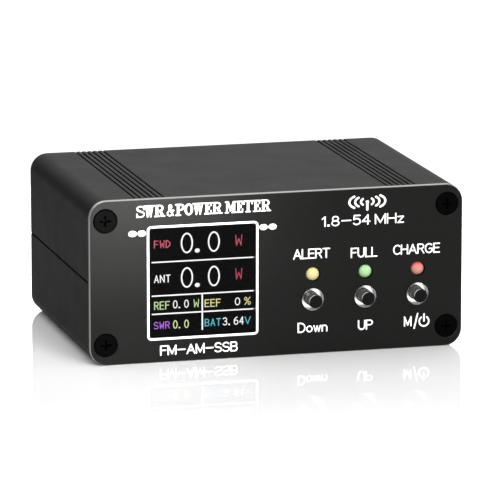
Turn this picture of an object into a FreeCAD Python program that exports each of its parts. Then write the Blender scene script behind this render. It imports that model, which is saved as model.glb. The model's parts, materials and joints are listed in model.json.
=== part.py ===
"""A small SWR and power meter for amateur radio, as an assembly of separate pieces, in millimetres.

Two identical half shells of extruded aluminium close on each other at mid height. A front panel and a rear
panel are screwed to their ends. Behind the front panel stands a display board with a square colour screen,
three indicator lamps and three push buttons. A main board slides in slots of the lower half shell, above a
flat lithium cell, and carries the directional coupler, which the two coaxial sockets on the rear panel feed.

Frame: +X to the right and +Y to the rear as the user faces the panel, +Z up. The origin is at the middle of
the overall footprint, on the plane that the case stands on. Depths run from the front panel's outer face.
"""

import FreeCAD
import Part

import math
import os

from FreeCAD import Vector

# ---- driving dimensions ------------------------------------------------------------------------------------

# case
case_width = 88.0
case_height = 38.0
shell_length = 60.0
corner_radius = 4.0
shell_wall = 1.8
front_panel_thickness = 1.5
rear_panel_thickness = 1.5
rear_panel_inset = 0.4  # the rear panel is this much smaller than the shells all round
edge_break = 0.15  # chamfer on the outer edges of the panels

# decorative grooves along the top and the bottom
groove_count = 6
groove_pitch = 1.32
groove_width = 0.5
groove_depth = 0.5
groove_first_inset = 11.0  # from the case side to the first groove's middle

# seam between the half shells
seam_width = 0.5
seam_depth = 0.5
tongue_height = 1.2
tongue_gap = 0.05

# panel screws and the screw ports in the shells
screw_inset_x = 3.7
screw_inset_z = 4.65
screw_head_radius = 2.6
screw_head_sink = 0.08
screw_core_radius = 1.2
screw_thread_depth = 0.2
screw_thread_pitch = 0.7
screw_length = 8.0
screw_clear_radius = 1.65
countersink_radius = 2.88
port_radius = 2.9
port_bore_radius = 1.45
port_slot_width = 1.2

# slots for the main board
board_thickness = 1.6
main_board_level = 9.0  # underside of the main board
rib_thickness = 1.15
rib_reach = 1.6
slot_gap = 0.05

# display
window_width = 24.9
window_height = 25.3
window_corner_radius = 0.9
window_centre_from_left = 26.38
window_centre_height = 18.46
window_gap = 0.06
window_recess = 0.15
lcd_side_border = 1.4
lcd_top_border = 1.4
lcd_bottom_border = 4.0
lcd_view_size = 23.4
lcd_glass_thickness = 0.7
lcd_backlight_thickness = 0.8
lcd_frame_bar = 2.6
flex_width = 13.0
flex_thickness = 0.15
flex_bend_gap = 0.35

# controls: three columns, each an indicator lamp over a push button
control_pitch = 12.5
control_last_from_right = 10.64
button_height = 12.66
lamp_height = 18.57
button_hole_radius = 2.58
button_radius = 1.6
button_protrusion = 2.5
button_edge_radius = 0.3
button_travel = 0.25
lamp_hole_radius = 1.72
lamp_radius = 1.62
lamp_protrusion = 0.55
lamp_flange_radius = 2.0
lamp_flange_thickness = 0.9
lamp_lead_pitch = 2.54
lamp_lead_width = 0.5

# push button switches
switch_size = 6.0
switch_height = 3.5
switch_panel_gap = 0.2
switch_plate_thickness = 0.2
switch_plate_bore_gap = 0.08
switch_cavity_radius = 2.3
switch_foot_radius = 2.1
switch_foot_thickness = 0.7
switch_foot_gap = 0.08
switch_dome_thickness = 0.12
switch_dome_rise = 0.45
switch_dome_clearance = 0.1  # left between the pressed foot and the dome
switch_leg_width = 0.7
switch_leg_thickness = 0.3
switch_leg_pitch = 4.5
switch_rivet_radius = 0.45
switch_rivet_height = 0.12
board_hole_radius = 0.6
lead_tail = 0.9  # how far leads stand out of the far face of a board

# display board and the header that joins it to the main board
display_board_side_gap = 0.9  # from the screw ports
display_board_floor_gap = 0.6
board_to_board_gap = 1.2
header_pin_count = 8
header_pitch = 2.54
header_body = 2.5
header_pin = 0.64
header_setback = 1.6  # from the main board's front edge to the header body
logic_setback = 5.0  # from the header's pins to the middle of the chips behind it

# main board
main_board_side_gap = 0.3
main_board_rear_setback = 6.5
usb_tab_half_width = 10.3
usb_tab_gap = 0.4
lead_slot_width = 4.6
lead_slot_length = 5.0

# coaxial sockets
socket_spacing = 48.0
socket_thread_radius = 7.94
socket_length = 18.5  # from the rear panel's face to the rim
socket_bore_radius = 6.1
socket_flange = 25.4
socket_flange_thickness = 1.8
socket_flange_corner = 1.0
socket_hole_spacing = 18.26
socket_neck_radius = 6.2
socket_neck_length = 3.5  # inside the rear panel
socket_panel_gap = 0.2
socket_collar_length = 5.5
socket_seat = 0.5  # how deep the insulator's collar seat starts in the flange
insulator_radius = 4.6
insulator_recess = 2.5  # below the rim
insulator_gap = 0.05
contact_radius = 2.6
contact_bore_radius = 2.0
contact_bore_length = 9.0
contact_tail_radius = 1.8
contact_tail_length = 9.5  # behind the rear panel's inner face
contact_cup_depth = 4.0

# fasteners of the sockets
flange_screw_radius = 1.45
flange_screw_length = 6.6
flange_screw_head_radius = 2.75
flange_screw_head_height = 1.7
flange_screw_hole_radius = 1.6
nut_across_flats = 5.5
nut_thickness = 2.4
cross_slot_width = 0.55
cross_slot_length = 2.6
cross_slot_depth = 0.9

# charging socket
usb_width = 8.94
usb_height = 3.2
usb_length = 7.4
usb_wall = 0.3
usb_protrusion = 0.9  # into the rear panel
usb_tongue_width = 6.7
usb_tongue_thickness = 0.7
usb_tongue_length = 4.4
usb_panel_gap = 0.35

# directional coupler
core_outer_radius = 6.35
core_inner_radius = 3.9
core_width = 4.8
winding_turns = 12
winding_wire = 0.5
winding_gap = 0.02  # radial, over the ring's inner and outer wall
line_radius = 0.9
line_bend_radius = 3.0
line_setback = 3.2  # from the end of the contacts' tails to the cross run
coupled_line_setback = 16.0
coupled_line_half_length = 8.5
screen_setback = 8.5
screen_half_width = 34.0
screen_height = 15.0
screen_thickness = 0.4
screen_fold = 6.0

# cell and its lead
cell_length = 50.0
cell_width = 34.0
cell_thickness = 5.0
cell_edge_radius = 1.6
cell_front = 12.0  # depth of the cell's front edge
tape_thickness = 0.5
tape_margin = 4.0
wire_radius = 0.65
wire_pitch = 2.0
wire_bend_radius = 1.8
plug_width = 5.8
plug_length = 4.0
plug_height = 4.2
plug_wire_level = 2.6  # wire height over the main board
plug_centre_x = 30.0
plug_front = 12.4
battery_socket_length = 3.2

# small parts of the main board
controller_size = 7.0
controller_height = 0.9
small_chip_length = 4.9
small_chip_width = 3.9
small_chip_height = 1.5
small_chip_leg = 1.0
inductor_size = 6.0
inductor_height = 2.8
chip_resistor = (2.0, 1.25, 0.55)
chip_capacitor = (2.0, 1.25, 0.9)
diode_size = (2.7, 1.6, 1.1)

# ---- what follows from them --------------------------------------------------------------------------------

half_width = case_width / 2
mid_height = case_height / 2
shell_front = front_panel_thickness
shell_rear = shell_front + shell_length
case_rear = shell_rear + rear_panel_thickness
overall_depth = button_protrusion + case_rear + socket_length
front_y = button_protrusion - overall_depth / 2  # Y of the front panel's outer face

screw_places = [(sx * (half_width - screw_inset_x), z)
                for sx in (-1, 1)
                for z in (screw_inset_z, case_height - screw_inset_z)]

window_x = window_centre_from_left - half_width
window_z = window_centre_height
control_xs = [half_width - control_last_from_right - n * control_pitch for n in (2, 1, 0)]

switch_front = front_panel_thickness + switch_panel_gap
display_board_front = switch_front + switch_height
display_board_rear = display_board_front + board_thickness
main_board_front = display_board_rear + board_to_board_gap
main_board_rear = shell_rear - main_board_rear_setback
main_board_top = main_board_level + board_thickness
main_board_half = half_width - shell_wall - main_board_side_gap

lcd_front = front_panel_thickness
lcd_glass_rear = lcd_front + lcd_glass_thickness
lcd_rear = lcd_glass_rear + lcd_backlight_thickness
lcd_x = (window_x - lcd_view_size / 2 - lcd_side_border, window_x + lcd_view_size / 2 + lcd_side_border)
lcd_z = (window_z - lcd_view_size / 2 - lcd_bottom_border, window_z + lcd_view_size / 2 + lcd_top_border)

header_level = main_board_top + header_body / 2
header_xs = [window_x + (n - (header_pin_count - 1) / 2) * header_pitch for n in range(header_pin_count)]
header_front = main_board_front + header_setback
header_bend = header_front + header_body + header_pin

socket_xs = (-socket_spacing / 2, socket_spacing / 2)
socket_rim = case_rear + socket_length
contact_end = shell_rear - contact_tail_length
line_depth = contact_end - line_setback
coupled_depth = line_depth - coupled_line_setback
flange_screw_places = [(x + sx * socket_hole_spacing / 2, mid_height + sz * socket_hole_spacing / 2)
                       for x in socket_xs for sx in (-1, 1) for sz in (-1, 1)]
usb_level = main_board_top + usb_height / 2
cell_floor = shell_wall + tape_thickness


# ---- shapes ------------------------------------------------------------------------------------------------

def point(x, depth, z):
    return Vector(x, front_y + depth, z)


def block(x, depth, z):
    """A box between two values on each axis."""
    return Part.makeBox(x[1] - x[0], depth[1] - depth[0], z[1] - z[0], point(x[0], depth[0], z[0]))


def rod(x, z, depth, radius):
    """A cylinder along the depth."""
    return Part.makeCylinder(radius, depth[1] - depth[0], point(x, depth[0], z), Vector(0, 1, 0))


def round_corners(shape, radius, axis):
    """Rounds the edges that run along one axis."""
    edges = [e for e in shape.Edges if abs(e.tangentAt(e.FirstParameter).dot(axis)) > 0.999]
    return shape.makeFillet(radius, edges)


def plate(x, depth, z, radius):
    """A box whose corners are round when it is seen from the front."""
    return round_corners(block(x, depth, z), radius, Vector(0, 1, 0))


def turned(profile, x, z):
    """A closed outline of (depth, radius) points, turned about the line along the depth through x and z."""
    corners = [point(x + radius, depth, z) for depth, radius in profile]
    face = Part.Face(Part.makePolygon(corners + corners[:1]))
    return face.revolve(point(x, 0, z), Vector(0, 1, 0), 360)


def join(shapes):
    whole = shapes[0].fuse(shapes[1:]) if len(shapes) > 1 else shapes[0]
    return whole.removeSplitter()


def cut(shape, tools):
    return shape.cut(Part.makeCompound(tools))


def group(shapes):
    """Separate solids of one node."""
    return Part.makeCompound(shapes)


def pipe(route, radius, bend):
    """A round bar along straight runs that are joined by tangent arcs."""
    edges = []
    start = route[0]
    for before, corner, after in zip(route, route[1:], route[2:]):
        way_in = (corner - before).normalize()
        way_out = (after - corner).normalize()
        turn = way_in.getAngle(way_out)
        back = bend * math.tan(turn / 2)
        arc_start = corner - way_in * back
        arc_end = corner + way_out * back
        to_centre = (way_out - way_in).normalize()
        middle = corner + to_centre * (bend / math.cos(turn / 2) - bend)
        edges.append(Part.LineSegment(start, arc_start).toShape())
        edges.append(Part.Arc(arc_start, middle, arc_end).toShape())
        start = arc_end
    edges.append(Part.LineSegment(start, route[-1]).toShape())
    first = (route[1] - route[0]).normalize()
    section = Part.Wire(Part.makeCircle(radius, route[0], first))
    return Part.Wire(edges).makePipeShell([section], True, True)


def cross_recess(x, z, mouth, depth):
    """Two crossed slots that taper to their bottom; depth is +1 or -1, the way that they go in."""
    half = cross_slot_length / 2
    bottom = mouth + depth * cross_slot_depth
    arms = []
    for along_x in (True, False):
        top = [(-half, -cross_slot_width / 2), (half, -cross_slot_width / 2),
               (half, cross_slot_width / 2), (-half, cross_slot_width / 2)]
        low = [(u * 0.45, v * 0.6) for u, v in top]
        rings = []
        for corners, level in ((top, mouth - depth * 0.05), (low, bottom)):
            flat = [point(x + (u if along_x else v), level, z + (v if along_x else u)) for u, v in corners]
            rings.append(Part.makePolygon(flat + flat[:1]))
        arms.append(Part.makeLoft(rings, True, True))
    return arms[0].fuse(arms[1])


def thread_outline(start, end, core, crest, pitch, towards):
    """Zigzag (depth, radius) points of a thread drawn as rings."""
    points = []
    turns = int(abs(end - start) / pitch)
    for n in range(turns):
        base = start + towards * n * pitch
        points += [(base, core), (base + towards * pitch / 2, crest)]
    return points + [(start + towards * turns * pitch, core)]


# ---- case --------------------------------------------------------------------------------------------------

def lower_shell():
    """Half of the case: floor, two side walls, screw ports and board slots; the upper half is the same."""
    depth = (shell_front, shell_rear)
    low, high = -half_width, half_width
    body = plate((low, high), depth, (0, case_height), corner_radius)
    inner = plate((low + shell_wall, high - shell_wall), depth, (shell_wall, case_height - shell_wall),
                  corner_radius - shell_wall)
    shell = body.cut(inner)
    additions = []
    for side in (-1, 1):
        wall_x = side * (half_width - shell_wall / 2)
        reach_x = side * (half_width - shell_wall - rib_reach)
        span = (min(wall_x, reach_x), max(wall_x, reach_x))
        under = main_board_level - slot_gap
        over = main_board_top + slot_gap
        additions.append(block(span, depth, (under - rib_thickness, under)))
        additions.append(block(span, depth, (over, over + rib_thickness)))
        port_x = side * (half_width - screw_inset_x)
        additions.append(rod(port_x, screw_inset_z, depth, port_radius).common(body))
    shell = join([shell] + additions)
    half = shell.common(block((low, high), depth, (0, mid_height)))
    cuts = []
    for side in (-1, 1):
        port_x = side * (half_width - screw_inset_x)
        cuts.append(rod(port_x, screw_inset_z, depth, port_bore_radius))
        open_to = port_x - side * port_radius * 1.2
        span = (min(port_x, open_to), max(port_x, open_to))
        slot_z = (screw_inset_z - port_slot_width / 2, screw_inset_z + port_slot_width / 2)
        cuts.append(block(span, depth, slot_z))
        outer_x = side * half_width
        seam_x = side * (half_width - seam_depth)
        span = (min(outer_x, seam_x), max(outer_x, seam_x))
        cuts.append(block(span, depth, (mid_height - seam_width / 2, mid_height)))
        for n in range(groove_count):
            x = side * (half_width - groove_first_inset - n * groove_pitch)
            cuts.append(block((x - groove_width / 2, x + groove_width / 2), depth, (0, groove_depth)))
    tongue_outer = (shell_wall + seam_depth) / 2
    rebate_depth = tongue_height + tongue_gap
    rebate_x = (high - shell_wall, high - tongue_outer + tongue_gap / 2)
    rebate = block(rebate_x, depth, (mid_height - rebate_depth, mid_height))
    half = cut(half, cuts + [rebate])
    tongue_x = (low + tongue_outer + tongue_gap / 2, low + shell_wall)
    tongue = block(tongue_x, depth, (mid_height - tongue_height, mid_height + tongue_height))
    return join([half, tongue])


def upper_shell(lower):
    """The lower half shell turned half round about the case's long middle line."""
    upper = lower.copy()
    upper.rotate(Vector(0, 0, mid_height), Vector(0, 1, 0), 180)
    return upper


def countersunk_hole(x, z, face, inwards, thickness):
    """The hole for a panel screw, with its cone opening at the outer face."""
    cone_depth = countersink_radius - screw_clear_radius
    start = face - inwards * 0.1
    end = face + inwards * (thickness + 0.1)
    profile = [(start, 0), (start, countersink_radius + 0.1), (face + inwards * cone_depth, screw_clear_radius),
               (end, screw_clear_radius), (end, 0)]
    return turned(profile, x, z)


def broken_edges(shape, level):
    """Chamfers the outline of the outer face at that depth."""
    edges = [e for e in shape.Edges
             if max(abs(e.BoundBox.YMin - front_y - level), abs(e.BoundBox.YMax - front_y - level)) < 1e-6]
    return shape.makeChamfer(edge_break, edges)


def front_panel():
    body = plate((-half_width, half_width), (0, front_panel_thickness), (0, case_height), corner_radius)
    body = broken_edges(body, 0)
    through = (-1, front_panel_thickness + 1)
    holes = [countersunk_hole(x, z, 0, 1, front_panel_thickness) for x, z in screw_places]
    window_span_x = (window_x - window_width / 2, window_x + window_width / 2)
    window_span_z = (window_z - window_height / 2, window_z + window_height / 2)
    holes.append(plate(window_span_x, through, window_span_z, window_corner_radius))
    for x in control_xs:
        holes.append(rod(x, button_height, through, button_hole_radius))
        holes.append(rod(x, lamp_height, through, lamp_hole_radius))
    return cut(body, holes)


def rear_panel():
    low, high = rear_panel_inset - half_width, half_width - rear_panel_inset
    depth = (shell_rear, case_rear)
    radius = corner_radius - rear_panel_inset
    body = plate((low, high), depth, (rear_panel_inset, case_height - rear_panel_inset), radius)
    body = broken_edges(body, case_rear)
    through = (shell_rear - 1, case_rear + 1)
    holes = [countersunk_hole(x, z, case_rear, -1, rear_panel_thickness) for x, z in screw_places]
    for x in socket_xs:
        holes.append(rod(x, mid_height, through, socket_neck_radius + socket_panel_gap))
    for x, z in flange_screw_places:
        holes.append(rod(x, z, through, flange_screw_hole_radius))
    half_x = usb_width / 2 + usb_panel_gap
    half_z = usb_height / 2 + usb_panel_gap
    holes.append(plate((-half_x, half_x), through, (usb_level - half_z, usb_level + half_z), half_z * 0.98))
    return cut(body, holes)


def panel_screw(x, z, face, inwards):
    """A countersunk cross-head screw that cuts its own thread in the port."""
    top = face + inwards * screw_head_sink
    crest = screw_core_radius + screw_thread_depth
    rim = face + inwards * (countersink_radius - screw_head_radius)
    cone_end = face + inwards * (countersink_radius - crest)
    tip = face + inwards * screw_length
    profile = [(top, 0), (top, screw_head_radius - 0.1), (top + inwards * 0.1, screw_head_radius),
               (rim, screw_head_radius), (cone_end, crest)]
    thread_start = cone_end + inwards * 0.3
    profile += thread_outline(thread_start, tip, screw_core_radius, crest, screw_thread_pitch, inwards)
    last_depth = profile[-1][0]
    profile += [(last_depth + inwards * 0.6, screw_core_radius * 0.5), (last_depth + inwards * 0.6, 0)]
    return turned(profile, x, z).cut(cross_recess(x, z, top, inwards))


def front_panel_screws():
    return group([panel_screw(x, z, 0, 1) for x, z in screw_places])


def rear_panel_screws():
    return group([panel_screw(x, z, case_rear, -1) for x, z in screw_places])


# ---- display -----------------------------------------------------------------------------------------------

def display_window():
    """Clear pane that fills the window of the front panel and lies on the screen's glass."""
    half_x = window_width / 2 - window_gap
    half_z = window_height / 2 - window_gap
    return plate((window_x - half_x, window_x + half_x), (window_recess, front_panel_thickness),
                 (window_z - half_z, window_z + half_z), window_corner_radius - window_gap)


def lcd_glass():
    """Two glass sheets: the rear one reaches lower, and its ledge takes the flex cable."""
    front_sheet_low = window_z - lcd_view_size / 2 - lcd_side_border
    middle = lcd_front + lcd_glass_thickness / 2
    front_sheet = block(lcd_x, (lcd_front, middle), (front_sheet_low, lcd_z[1]))
    rear_sheet = block(lcd_x, (middle, lcd_glass_rear), lcd_z)
    return join([front_sheet, rear_sheet])


def lcd_backlight():
    body = block(lcd_x, (lcd_glass_rear, lcd_rear), lcd_z)
    return round_corners(body, 0.5, Vector(0, 1, 0))


def lcd_frame():
    """Moulded spacer between the screen and the display board, open below for the flex cable."""
    depth = (lcd_rear, display_board_front)
    body = block(lcd_x, depth, lcd_z)
    opening = block((lcd_x[0] + lcd_frame_bar, lcd_x[1] - lcd_frame_bar), depth,
                    (lcd_z[0] - 1, lcd_z[1] - lcd_frame_bar))
    return body.cut(opening)


def lcd_flex_cable():
    """Flat cable that leaves the glass ledge, turns back under the screen and lies on the display board."""
    ledge = lcd_glass_rear - lcd_glass_thickness / 2 - flex_thickness
    pad = display_board_front - 0.05
    bottom = lcd_z[0] - flex_bend_gap
    reach = lcd_z[0] + 6.0
    start_z = lcd_z[0] + 1.2
    outline = [(ledge, start_z), (ledge, bottom - flex_thickness), (pad, bottom - flex_thickness),
               (pad, reach), (pad - flex_thickness, reach), (pad - flex_thickness, bottom),
               (ledge + flex_thickness, bottom), (ledge + flex_thickness, start_z)]
    low_x = window_x - flex_width / 2
    corners = [point(low_x, depth, z) for depth, z in outline]
    return Part.Face(Part.makePolygon(corners + corners[:1])).extrude(Vector(flex_width, 0, 0))


# ---- controls ----------------------------------------------------------------------------------------------

foot_front = switch_front + switch_plate_thickness + switch_foot_gap
foot_rear = foot_front + switch_foot_thickness
dome_top = foot_rear + button_travel + switch_dome_clearance
cavity_floor = dome_top + switch_dome_rise + switch_dome_thickness


def push_button(x):
    """Round stem with a rounded tip and a foot that the switch's cover plate holds in."""
    tip = -button_protrusion
    profile = [(tip, 0), (tip, button_radius), (foot_front, button_radius), (foot_front, switch_foot_radius),
               (foot_rear, switch_foot_radius), (foot_rear, 0)]
    stem = turned(profile, x, button_height)
    at_tip = [e for e in stem.Edges if e.BoundBox.YMax < front_y + tip + 1e-6]
    rim = [e for e in at_tip if e.BoundBox.XLength > button_radius]
    return stem.makeFillet(button_edge_radius, rim)


def switch_housing(x):
    half = switch_size / 2
    body = block((x - half, x + half), (switch_front + switch_plate_thickness, display_board_front),
                 (button_height - half, button_height + half))
    body = round_corners(body, 0.4, Vector(0, 1, 0))
    cavity = rod(x, button_height, (switch_front, cavity_floor), switch_cavity_radius)
    rivets = []
    for sx in (-1, 1):
        for sz in (-1, 1):
            place = (x + sx * half * 0.76, button_height + sz * half * 0.76)
            depth = (switch_front - switch_rivet_height, switch_front + switch_plate_thickness + 0.1)
            rivets.append(rod(*place, depth, switch_rivet_radius))
    return join([body.cut(cavity)] + rivets)


def switch_cover_plate(x):
    """Sheet steel cover, riveted at its corners, with the hole that guides the stem."""
    half = switch_size / 2
    sheet = block((x - half, x + half), (switch_front, switch_front + switch_plate_thickness),
                  (button_height - half, button_height + half))
    sheet = round_corners(sheet, 0.5, Vector(0, 1, 0))
    through = (switch_front - 1, switch_front + 1)
    holes = [rod(x, button_height, through, button_radius + switch_plate_bore_gap)]
    for sx in (-1, 1):
        for sz in (-1, 1):
            holes.append(rod(x + sx * half * 0.76, button_height + sz * half * 0.76, through,
                             switch_rivet_radius + 0.02))
    return cut(sheet, holes)


def switch_dome(x):
    """Snap dome under the stem's foot, as a shallow cone of spring steel."""
    rim = switch_cavity_radius - 0.1
    profile = [(dome_top, 0), (dome_top, 0.5), (dome_top + switch_dome_rise, rim),
               (dome_top + switch_dome_rise + switch_dome_thickness, rim),
               (dome_top + switch_dome_thickness, 0.5), (dome_top + switch_dome_thickness, 0)]
    return turned(profile, x, button_height)


def switch_leg_places(x):
    return [(x + sx * (switch_size / 2 + switch_leg_thickness / 2), button_height + sz * switch_leg_pitch / 2)
            for sx in (-1, 1) for sz in (-1, 1)]


def switch_legs(x):
    depth = (display_board_front - switch_height * 0.6, display_board_rear + lead_tail)
    return [block((px - switch_leg_thickness / 2, px + switch_leg_thickness / 2), depth,
                  (pz - switch_leg_width / 2, pz + switch_leg_width / 2)) for px, pz in switch_leg_places(x)]


def indicator_lamp(x):
    """Light-emitting diode: cylinder with a domed tip and a flange that stands on the display board."""
    tip = -lamp_protrusion
    shoulder = tip + lamp_radius * 0.75
    flange_front = display_board_front - lamp_flange_thickness
    base = turned([(shoulder, 0), (shoulder, lamp_radius), (flange_front, lamp_radius),
                   (flange_front, lamp_flange_radius), (display_board_front, lamp_flange_radius),
                   (display_board_front, 0)], x, lamp_height)
    rise = lamp_radius * 0.75
    dome_radius = (lamp_radius ** 2 + rise ** 2) / (2 * rise)
    dome = Part.makeSphere(dome_radius, point(x, tip + dome_radius, lamp_height))
    dome = dome.common(rod(x, lamp_height, (tip - 1, shoulder), lamp_radius))
    return join([base, dome])


def lamp_lead_places(x):
    return [(x + side * lamp_lead_pitch / 2, lamp_height) for side in (-1, 1)]


def lamp_leads():
    depth = (display_board_front, display_board_rear + lead_tail)
    half = lamp_lead_width / 2
    return group([block((px - half, px + half), depth, (pz - half, pz + half))
                  for x in control_xs for px, pz in lamp_lead_places(x)])


# ---- boards ------------------------------------------------------------------------------------------------

def display_board():
    half = half_width - screw_inset_x - port_radius - display_board_side_gap
    low = shell_wall + display_board_floor_gap
    body = plate((-half, half), (display_board_front, display_board_rear), (low, case_height - low), 1.0)
    through = (display_board_front - 1, display_board_rear + 1)
    places = [place for x in control_xs for place in switch_leg_places(x) + lamp_lead_places(x)]
    places += [(x, header_level) for x in header_xs]
    return cut(body, [rod(x, z, through, board_hole_radius) for x, z in places])


def board_link_header():
    width = header_pin_count * header_pitch / 2
    body = block((window_x - width, window_x + width), (header_front, header_front + header_body),
                 (main_board_top, main_board_top + header_body))
    half = header_pin / 2 + 0.02
    depth = (header_front - 1, header_front + header_body + 1)
    return cut(body, [block((x - half, x + half), depth, (header_level - half, header_level + half))
                      for x in header_xs])


def board_link_pins():
    """Right-angle pins from the main board, through the header body, to the display board."""
    half = header_pin / 2
    pins = []
    for x in header_xs:
        span = (x - half, x + half)
        level_z = (header_level - half, header_level + half)
        level = block(span, (display_board_front - 0.6, header_bend), level_z)
        drop_z = (main_board_level - lead_tail, header_level)
        drop = block(span, (header_bend - header_pin, header_bend), drop_z)
        pins.append(join([level, drop]))
    return group(pins)


def main_board():
    """Board in the slots, with a tab for the charging socket and a slot for the cell's lead."""
    level = (main_board_level, main_board_top)
    body = block((-main_board_half, main_board_half), (main_board_front, main_board_rear), level)
    tab = block((-usb_tab_half_width, usb_tab_half_width), (main_board_rear, shell_rear - usb_tab_gap), level)
    body = join([body, tab])
    lead_depth = wire_depths[0] - lead_slot_length / 2 + wire_pitch / 2
    lead_slot = block((plug_centre_x - lead_slot_width / 2, plug_centre_x + lead_slot_width / 2),
                      (lead_depth, lead_depth + lead_slot_length), level)
    pin_depth = header_bend - header_pin / 2
    holes = [Part.makeCylinder(board_hole_radius, board_thickness, point(x, pin_depth, main_board_level))
             for x in header_xs]
    for x, depth in coupler_leg_places():
        holes.append(Part.makeCylinder(line_radius, board_thickness, point(x, depth, main_board_level)))
    return cut(body, holes + [lead_slot])


# ---- sockets on the rear panel -----------------------------------------------------------------------------

def socket_body(x):
    """Flange and barrel of a coaxial socket; the barrel's outer face is the thread's full diameter."""
    half = socket_flange / 2
    flange = plate((x - half, x + half), (case_rear, case_rear + socket_flange_thickness),
                   (mid_height - half, mid_height + half), socket_flange_corner)
    neck_end = shell_rear - socket_neck_length
    rim_chamfer = 0.5
    barrel = turned([(neck_end, 0), (neck_end, socket_neck_radius), (case_rear, socket_neck_radius),
                     (case_rear, socket_thread_radius), (socket_rim - rim_chamfer, socket_thread_radius),
                     (socket_rim, socket_thread_radius - rim_chamfer), (socket_rim, 0)], x, mid_height)
    seat = case_rear + socket_seat
    cavity = turned([(neck_end - 1, 0), (neck_end - 1, insulator_radius + insulator_gap),
                     (seat, insulator_radius + insulator_gap), (seat, socket_bore_radius),
                     (socket_rim + 1, socket_bore_radius), (socket_rim + 1, 0)], x, mid_height)
    holes = [rod(px, pz, (case_rear - 1, case_rear + socket_flange_thickness + 1), flange_screw_hole_radius)
             for px, pz in flange_screw_places if abs(px - x) < socket_flange]
    notches = []
    for turn in range(4):
        notch = block((x - 0.9, x + 0.9), (socket_rim - 1.1, socket_rim + 1),
                      (mid_height + socket_bore_radius - 1, mid_height + socket_thread_radius + 1))
        notch.rotate(point(x, 0, mid_height), Vector(0, 1, 0), 45 + 90 * turn)
        notches.append(notch)
    return cut(join([flange, barrel]), [cavity] + holes + notches)


contact_shoulder = socket_rim - insulator_recess - contact_bore_length - 3.0


def socket_insulator(x):
    """White insulator: rear neck, a collar seated in the barrel, and the boss round the contact."""
    neck_end = shell_rear - socket_neck_length
    seat = case_rear + socket_seat + insulator_gap
    face = socket_rim - insulator_recess
    collar_end = seat + socket_collar_length
    return turned([(neck_end, contact_tail_radius + insulator_gap), (neck_end, insulator_radius),
                   (seat, insulator_radius), (seat, socket_bore_radius - insulator_gap),
                   (collar_end, socket_bore_radius - insulator_gap), (collar_end, insulator_radius),
                   (face - 0.3, insulator_radius), (face, insulator_radius - 0.3),
                   (face, contact_radius + insulator_gap),
                   (contact_shoulder - insulator_gap, contact_radius + insulator_gap),
                   (contact_shoulder - insulator_gap, contact_tail_radius + insulator_gap)], x, mid_height)


def socket_contact(x):
    """Centre contact: a sleeve for the plug's pin and a solder cup behind."""
    face = socket_rim - insulator_recess
    mouth = face + 0.2
    floor = mouth - contact_bore_length
    cup_floor = contact_end + contact_cup_depth
    return turned([(contact_end, line_radius), (contact_end, contact_tail_radius),
                   (contact_shoulder, contact_tail_radius), (contact_shoulder, contact_radius),
                   (mouth - 0.2, contact_radius), (mouth, contact_radius - 0.2), (mouth, contact_bore_radius),
                   (floor, contact_bore_radius), (floor - 1, 0), (cup_floor, 0),
                   (cup_floor, line_radius)], x, mid_height)


def socket_screws():
    """Pan-head screws of the flanges."""
    seat = case_rear + socket_flange_thickness
    top = seat + flange_screw_head_height
    shaft_end = seat - flange_screw_length
    screws = []
    for x, z in flange_screw_places:
        profile = [(shaft_end, 0), (shaft_end, flange_screw_radius - 0.3),
                   (shaft_end + 0.3, flange_screw_radius), (seat, flange_screw_radius),
                   (seat, flange_screw_head_radius),
                   (top - 0.7, flange_screw_head_radius), (top - 0.2, flange_screw_head_radius - 0.45),
                   (top, flange_screw_head_radius - 1.1), (top, 0)]
        screws.append(turned(profile, x, z).cut(cross_recess(x, z, top, -1)))
    return group(screws)


def socket_nuts():
    depth = (shell_rear - nut_thickness, shell_rear)
    corner = nut_across_flats / 2 / math.cos(math.radians(30))
    nuts = []
    for x, z in flange_screw_places:
        corners = [point(x + corner * math.cos(math.radians(60 * n)), depth[0],
                         z + corner * math.sin(math.radians(60 * n))) for n in range(6)]
        hexagon = Part.Face(Part.makePolygon(corners + corners[:1])).extrude(Vector(0, nut_thickness, 0))
        nuts.append(hexagon.cut(rod(x, z, depth, flange_screw_radius + 0.05)))
    return group(nuts)


def charging_socket_shell():
    """Drawn steel tube of the charging socket, standing on the main board's tab."""
    mouth = shell_rear + usb_protrusion
    half_x, half_z = usb_width / 2, usb_height / 2
    outer = plate((-half_x, half_x), (mouth - usb_length, mouth), (usb_level - half_z, usb_level + half_z),
                  half_z * 0.8)
    inner = plate((usb_wall - half_x, half_x - usb_wall), (mouth - usb_length + 1, mouth + 1),
                  (usb_level - half_z + usb_wall, usb_level + half_z - usb_wall), (half_z - usb_wall) * 0.8)
    return outer.cut(inner)


def charging_socket_tongue():
    mouth = shell_rear + usb_protrusion
    root = mouth - usb_length + 1
    gap = 0.02
    half_x, half_z = usb_width / 2 - usb_wall - gap, usb_height / 2 - usb_wall - gap
    back = plate((-half_x, half_x), (root + gap, root + 1.4), (usb_level - half_z, usb_level + half_z),
                 half_z * 0.8)
    tongue = block((-usb_tongue_width / 2, usb_tongue_width / 2), (root + 1, root + 1.4 + usb_tongue_length),
                   (usb_level - usb_tongue_thickness / 2, usb_level + usb_tongue_thickness / 2))
    return join([back, tongue])


# ---- directional coupler -----------------------------------------------------------------------------------

def coupler_leg_places():
    return [(side * coupled_line_half_length, coupled_depth) for side in (-1, 1)]


def through_line():
    """Conductor from one socket's contact to the other's, through the first core."""
    cup = contact_end + contact_cup_depth * 0.6
    x = socket_xs[1]
    route = [point(-x, cup, mid_height), point(-x, line_depth, mid_height), point(x, line_depth, mid_height),
             point(x, cup, mid_height)]
    return pipe(route, line_radius, line_bend_radius)


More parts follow.
